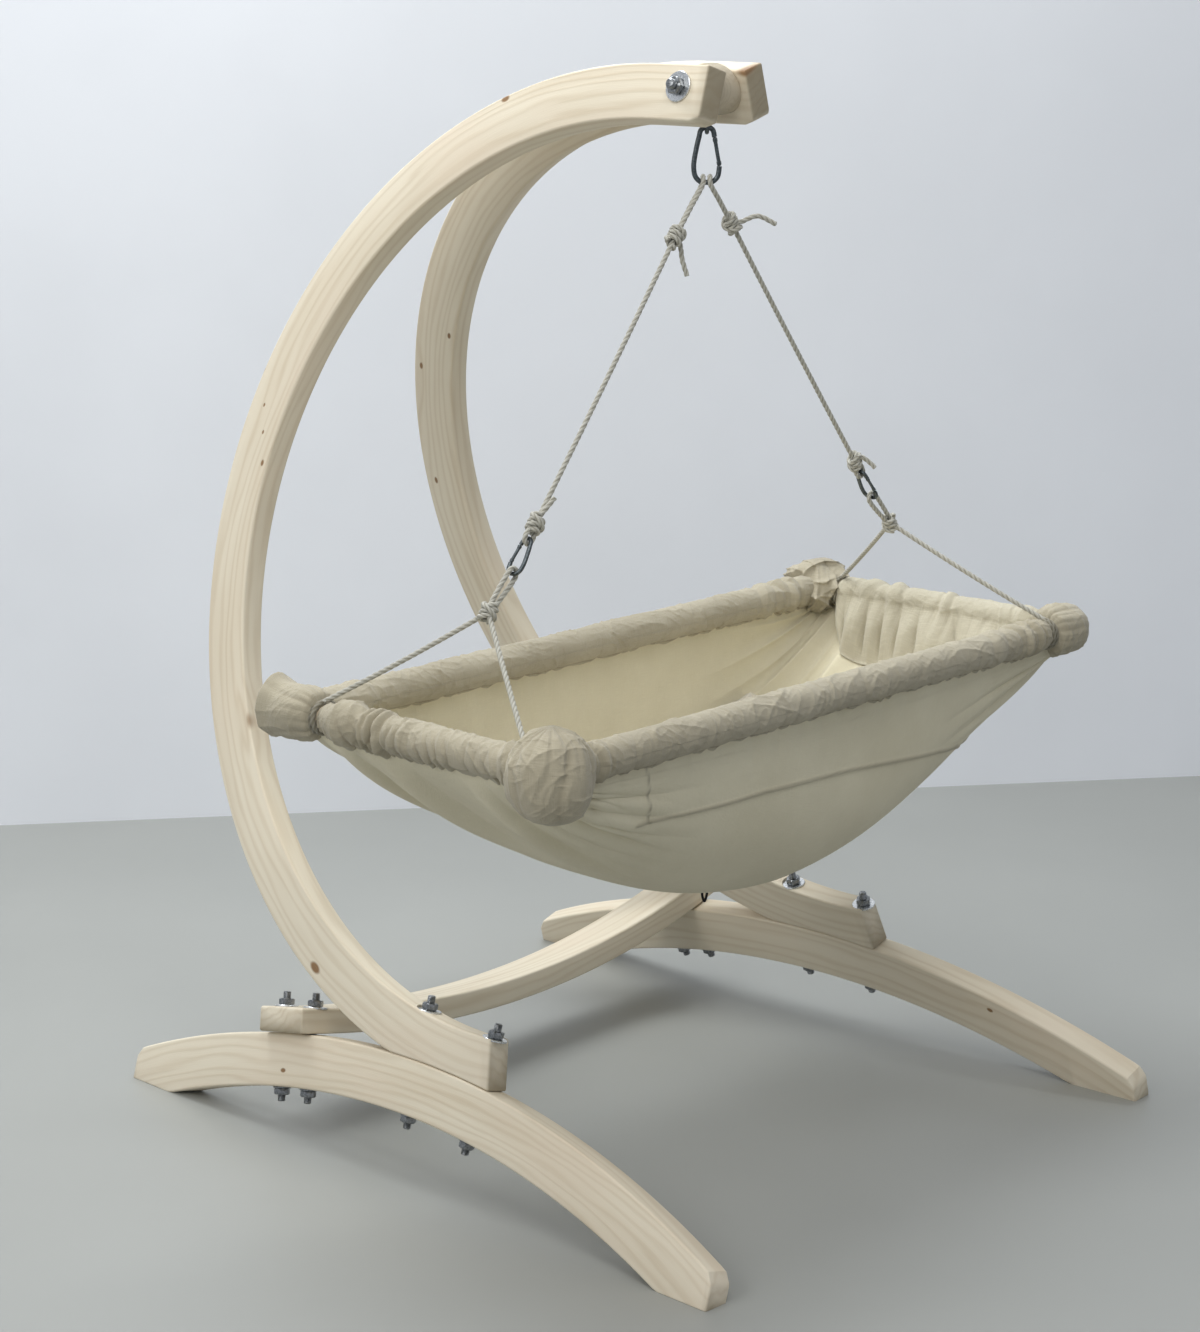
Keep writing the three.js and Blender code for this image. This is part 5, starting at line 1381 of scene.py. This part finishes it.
def sleeve(node, start, end, seed, style):
    """Gathered tube with a scalloped hem below. A drape lets its lower side hang down in folds, as
    far as the trough's row hem_row."""
    length = np.linalg.norm(end - start)
    rows, around = int(length / 0.0012), 96
    along = np.linspace(0, length, rows)[:, None]
    angle = full_turn(around)[None]
    path = start + (end - start) * np.linspace(0, 1, rows)[:, None]
    run = unit(end - start)
    side = unit(np.cross(run, [0, 0, 1.0]))
    round_it = np.cos(angle)[..., None] * side + np.sin(angle)[..., None] * np.cross(side, run)
    close = np.minimum(along, length - along)
    rim = 0.0060 * np.exp(-close / 0.0035)
    busy = np.maximum(style["calm"], np.exp(-(length - along) / 0.05) + np.exp(-along / 0.05))
    under = angle - 1.5 * math.pi
    below = 0.5 + 0.5 * np.cos(under)
    puff = puffs(along, angle, style["pitch"], seed)
    scallop = np.exp(-((under / 0.20) ** 2)) * (0.25 + puff)
    folds = creases(path[:, None] + SLEEVE * round_it, seed) * np.minimum(1.5, busy)
    fullness = 0.65 + 0.35 * np.sin(along * 61 + 1.3 * np.sin(angle) + 3 * seed)
    shares = (0.2 + 0.8 * below) * np.minimum(1, busy + 0.25)
    folds = folds + style["puff"] * fullness * (puff - 0.62) * shares
    folds = folds + pleats(along, angle, style["pleats"])
    radius = SLEEVE - 0.0026 + folds - rim + 0.0036 * scallop
    seam = np.exp(-(((under - 0.27) / 0.06) ** 2))
    # Darkening: the seam line underneath as painted shade where sleeve meets trough, and the valleys
    # between puffs on the lower side as painted shade.
    seams_and_fold_shade = 0.8 * seam + style["puff"] / 0.008 * (1 - puff) ** 2.5 * below
    cloth = np.stack([angle * SLEEVE + 0 * along, along + 0 * angle, seams_and_fold_shade + 0 * radius], -1)
    points = path[:, None] + radius[..., None] * round_it
    if style.get("drape"):
        ends = np.minimum(1, close / 0.045) ** 0.7
        low = np.maximum(0, -np.sin(angle)) ** 1.4 * ends
        slits = crests(math.pi * along / 0.041 + 1.6 * np.sin(along * 27) + 1.2 * low, 0.6)
        hem = hem_row[np.argsort(hem_row[:, 1])]
        target = np.stack([np.interp(path[:, 1], hem[:, 1], hem[:, k]) for k in range(3)], -1)
        points = points + low[..., None] * (target[:, None] - points)
        waves = style["drape"] * np.sin(math.pi * np.minimum(1, low * 1.05)) * slits + 0.003 * low
        points = points + waves[..., None] * [-0.8, 0, 0.6]
        # Painted shade in the slits between the drape's folds.
        cloth[..., 2] = cloth[..., 2] * (1 - low) ** 2 + 0.5 * (1 - slits) ** 4 * np.sin(math.pi * low)
    finish = END_CANVAS if style.get("drape") else CANVAS
    cloth_tube(f"gathered_{node}", points, node, cloth, finish)


# calm is the least share of fine creases. Pitch and puff are a puff's length and height, metres.
STYLES = {
    "front": {"calm": 0.95, "pitch": 0.038, "puff": 0.0022, "pleats": [
        (0.010, 0.005, 0.0036, 0.008), (0.022, 0.005, 0.0034, -0.007), (0.035, 0.006, 0.0026, 0.009),
        (0.049, 0.006, 0.0018, -0.006), (0.775, 0.010, 0.0020, -0.006), (0.820, 0.007, 0.0030, 0.007),
        (0.838, 0.006, 0.0034, -0.006), (0.852, 0.005, 0.0036, 0.005)]},
    "rear": {"calm": 0.90, "pitch": 0.050, "puff": 0.0018, "pleats": [
        (0.060, 0.010, 0.0018, 0.006), (0.800, 0.010, 0.0026, -0.008), (0.832, 0.008, 0.0034, 0.009),
        (0.855, 0.008, 0.0036, -0.006)]},
    "left": {"calm": 1.15, "pitch": 0.0185, "puff": 0.0060, "pleats": [
        (0.018, 0.007, 0.0030, 0.006), (0.168, 0.006, 0.0024, -0.001), (0.2115, 0.0042, 0.0048, 0.001),
        (0.2235, 0.0042, 0.0052, -0.001), (0.2355, 0.0042, 0.0044, 0.002), (0.272, 0.017, 0.0060, -0.004)]},
    "right": {"calm": 0.80, "pitch": 0.034, "puff": 0.0030, "drape": 0.013, "pleats": [
        (0.030, 0.010, 0.0030, 0.004), (0.150, 0.006, 0.0030, 0.003), (0.235, 0.009, 0.0036, 0.004),
        (0.275, 0.010, 0.0030, -0.005)]},
}
# How far a sleeve's ends stay from the corners, and each side's way, sign and two ends.
TIED, FREE = 0.040, 0.022
PLACES = {
    "front": (0, -1, FREE, TIED), "rear": (0, 1, FREE, FREE),
    "left": (1, -1, TIED, TIED), "right": (1, 1, FREE, TIED),
}
halves = np.array([LONG, WIDE, 0]) / 2
for seed, (name, (axis, sign, first, last)) in enumerate(PLACES.items()):
    run, half = np.eye(3)[axis], halves[axis]
    middle = np.array([0, HANG_Y, BAR_UP]) + sign * halves * (1 - run)
    start, end = middle - run * (half - first), middle + run * (half - last)
    sleeve(f"sleeve_{name}", start, end, 11 + seed, STYLES[name])

# %% [markdown]
# ## Corner bundles
# At each corner the spare cloth is bunched over the crossed bars and tied. The front left one
# puffs out into a ball under its tie, the rear left one is a short stub with a flared end, the
# front right one a blunt cone, and the rear right one is simply crushed. Each is a profile
# along its own axis. Gathered cloth has many tight folds near the tie, and they merge into
# fewer, wider ones further away, so the fine folds die out much sooner than the wide ones. The
# profiles are in millimetres.

# %% Bundles of cloth
# fold and crush are heights of folds and dents, and tie is the place of the tie, all in metres.
BUNDLES = {
    "front_left": {
        "axis": (0, 0, 1), "folds": 6, "fold": 0.0080, "crush": 0.0024, "seed": 21, "tie": 0.050,
        "profile": [(-57, 2), (-54, 17), (-45, 35), (-28, 45.5), (-6, 49), (14, 46), (30, 36), (41, 23),
                    (48, 10), (51, 3)],
    },
    "rear_left": {
        "axis": (0, 1, 0), "folds": 5, "fold": 0.0030, "crush": 0.0016, "seed": 22, "tie": -0.033,
        "profile": [(-38, 14.6), (-34, 16), (-29, 25), (-14, 31), (8, 31.5), (26, 30.5), (37, 33), (42, 34),
                    (43, 30), (39, 22), (36.5, 10), (36, 1)],
    },
    "front_right": {
        "axis": (1, 0, 0), "folds": 5, "fold": 0.0032, "crush": 0.0015, "seed": 23, "tie": -0.033,
        "profile": [(-38, 14.6), (-34, 16), (-28, 27), (-13, 32.5), (8, 32.5), (22, 28.5), (33, 20.5),
                    (40, 11), (43, 2)],
    },
    "rear_right": {
        "axis": (0, 0, 1), "folds": 4, "fold": 0.0050, "crush": 0.0090, "seed": 24, "tie": 0.0,
        "profile": [(-33, 2), (-29, 20), (-17, 33), (0, 37), (15, 35), (28, 27), (36, 16), (39, 5)],
    },
}
LIP = 0.007


def bundle(corner):
    """Rows of (place, radius) along the axis, with folds that fade away from the tie. The wide ones
    are (sin^2 + 0.03)^0.36, which rounds their valleys."""
    shape = BUNDLES[corner]
    flat = np.array([(place, radius, 0) for place, radius in shape["profile"]]) / 1000
    rows = smooth_path(flat, 0.0010)
    at, reach = rows[:, :1], rows[:, 1:2]
    share = np.linspace(0, 1, len(rows))[:, None]
    angle = full_turn(160)[None]
    axis = np.array(shape["axis"], float)
    side, up = np.eye(3)[:2]
    if axis[2] == 0:
        side = unit(np.cross(axis, [0, 0, 1]))
        up = np.cross(side, axis)
    round_it = np.cos(angle)[..., None] * side + np.sin(angle)[..., None] * up
    from_tie = np.abs(at - shape["tie"])
    warp = 0.5 * np.sin(2 * angle + shape["seed"]) + 0.5 * np.sin(4 * share + angle + shape["seed"])
    warp = warp + 0.22 * np.sin(9 * share - 2 * angle)
    wave = np.sin(shape["folds"] * angle / 2 + warp)
    wide_fold = (wave**2 + 0.03) ** 0.36 * np.exp(-from_tie / 0.075)
    fine_fold = crests(shape["folds"] * angle * 1.5 + 2 * warp, 0.8) * np.exp(-from_tie / 0.030)
    close = np.minimum(1, reach / 0.020)
    radius = reach + close * shape["fold"] * (wide_fold + 0.55 * fine_fold - 0.55)
    plain_points = at[..., None] * axis + reach[..., None] * round_it
    lumps = np.sin(plain_points @ [61, 23, 47] + 1) * np.sin(plain_points @ [-29, 71, 33] + shape["seed"])
    crushed = creases(plain_points, shape["seed"], 0.044, shape["crush"]) + 0.8 * shape["crush"] * lumps
    radius = radius + close * crushed
    if corner == "rear_left":
        upper_side = np.exp(-(((angle - 0.5 * math.pi) / 0.6) ** 2))
        radius = radius + LIP * upper_side * np.maximum(0, at / 0.044) ** 4
    points = at[..., None] * axis + radius[..., None] * round_it + corner_place(corner)
    # Painted shade in the valleys between the folds.
    valley_shade = 0.22 * close * (1 - np.abs(wave)) ** 4
    cloth = np.stack([angle * 0.03 + 0 * share, at + 0 * angle, valley_shade], -1)
    cloth_tube(f"bundle_{corner}", points, f"corner_{corner}", cloth, CANVAS)


for corner in CORNERS:
    bundle(corner)

# %% [markdown]
# ## Mattress, hook
# A thin pad follows the bottom of the trough. It isn't seen from the camera's side, so it stays
# plain. A small bent wire hangs under the keel.

# %% The pad and the hook under the keel
TROUGH_COLUMNS, TROUGH_ROWS = 14, 18
PAD_GAP = 0.0036
PAD_THICK = 0.040


def mattress_sheet(lift, rows=90, columns=90):
    """The pad's lower or upper face: the trough's shape moved inwards by lift(a, b)."""
    i = np.linspace(4, 10, rows)[:, None]
    j = np.linspace(3, 15, columns)[None]
    u = np.sin(math.pi / 2 * (-1 + 2 * i / TROUGH_COLUMNS))
    v = 1 - 2 * j / TROUGH_ROWS
    return trough_place(u, v, lift((i - 7) / 3, (j - 9) / 6))


def pad_height(a, b):
    crown = (1 - np.abs(a) ** 5) * (1 - np.abs(b) ** 5)
    return PAD_GAP + PAD_THICK * (0.45 + 0.55 * np.sqrt(np.maximum(crown, 0)))


lower = mattress_sheet(lambda a, b: PAD_GAP + 0 * a * b)
upper = mattress_sheet(pad_height)
loop = np.concatenate([lower, upper[:, ::-1]], 1)
part = outward_tube(loop)
cloth = np.concatenate([(loop * [1, 1, 0]).reshape(-1, 3), np.zeros((2, 3))])
pad = make_piece("soft_pad", [part], PAD_CLOTH, "basket", ["mattress"],
                 {"cloth": cloth}, crease=40)

HOOK_SHARES = np.array([
    [-2.6, 0], [-1.4, 0], [-1, 0.3], [-0.8, 0.8], [0, 1], [0.8, 0.8], [1, 0.3], [1.4, 0], [2.6, 0],
])
HOOK_WIRE = 0.0016
HOOK_X = 0.007
HOOK_HALF = 0.005
HOOK_DROP = 0.035
low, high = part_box("keel_hook")
side, down = HOOK_SHARES.T
hang_from = high[2] - HOOK_WIRE
places = np.stack([HOOK_X + side * HOOK_HALF, HANG_Y + 0 * side, hang_from - down * HOOK_DROP], -1)
part = outward_tube(rings_along(smooth_path(places, 0.0008), [0, 1, 0], HOOK_WIRE))
make_piece("hook_of_wire", [part], BLACK_WIRE, "basket", ["keel_hook"])
print("the hook hangs from", np.round(low, 4), "to", np.round(high, 4))

# %% [markdown]
# ## Floor and light
# A pale grey floor and a white wall behind it stand in for the room. A soft light on the left
# gives the cream faces, a strong one behind makes the cloth's rims glow, a lamp above the camera
# draws the shadow on the floor together, and the pale world fills what is left.


# %% The stage and the lights
def plain(name, colour, rough, corners):
    """A flat stage piece through four corners. From behind it is clear, so that the cradle can be
    looked at from every side."""
    mesh = bpy.data.meshes.new(name)
    mesh.from_pydata([tuple(corner) for corner in corners], [], [(0, 1, 2, 3)])
    f = Finish(name, {"Roughness": rough})
    place = f.node("ShaderNodeTexCoord", output="Object")
    cloud = f.noise(place, 1.6, 4.0)
    f.feed("Base Color", f.mix(cloud.step(0.3, 0.7), tuple(c * 0.94 for c in colour), colour))
    f.feed("Alpha", 1 - f.node("ShaderNodeNewGeometry", output="Backfacing"))
    mesh.materials.append(f.material)
    made = in_scene(name, mesh)


STAGE_REACH = 8
WALL_HIGH = 6
across = np.array([math.cos(TURN), -math.sin(TURN), 0])
ahead = np.array([math.sin(TURN), math.cos(TURN), 0])
wall_run = unit(np.array([1.61, -1.30, 0]))
wall_middle = np.array([0.19, 1.56, 0])
wall_left, wall_right = wall_middle - wall_run * STAGE_REACH, wall_middle + wall_run * STAGE_REACH
near_left, near_right = (-across - ahead) * STAGE_REACH, (across - ahead) * STAGE_REACH
up = np.array([0, 0, WALL_HIGH])
plain("floor", (0.33, 0.335, 0.315), 0.42, [near_left, near_right, wall_right, wall_left])
plain("wall", (0.86, 0.88, 0.92), 0.9, [wall_left, wall_right, wall_right + up, wall_left + up])

LIGHTS_AIM = Vector((0, -0.1, 0.6))


def soft_light(name, place, size, power, colour):
    """A rectangle of light that faces the cradle."""
    light = bpy.data.lights.new(name, "AREA")
    light.shape = "RECTANGLE"
    light.size, light.size_y = size
    light.energy = power
    light.color = colour
    made = in_scene(name, light)
    made.location = place
    made.rotation_euler = (LIGHTS_AIM - Vector(place)).to_track_quat("-Z", "Y").to_euler()


soft_light("key_left", (-3.4, 0.2, 2.6), (2.0, 1.6), 40, (1.0, 0.99, 0.96))
soft_light("window_behind", (0.5, 1.0, 2.9), (2.6, 1.0), 88, (0.94, 0.975, 1.0))
soft_light("lamp_above", (-1.2, -1.1, 2.9), (1.4, 1.4), 22, (1.0, 0.985, 0.95))

world = bpy.data.worlds.new("pale_room")
world.use_nodes = True
background = world.node_tree.nodes["Background"].inputs
background["Color"].default_value = (0.86, 0.90, 0.96, 1)
background["Strength"].default_value = 0.56
bpy.context.scene.world = world
bpy.context.scene.view_settings.view_transform = "Standard"
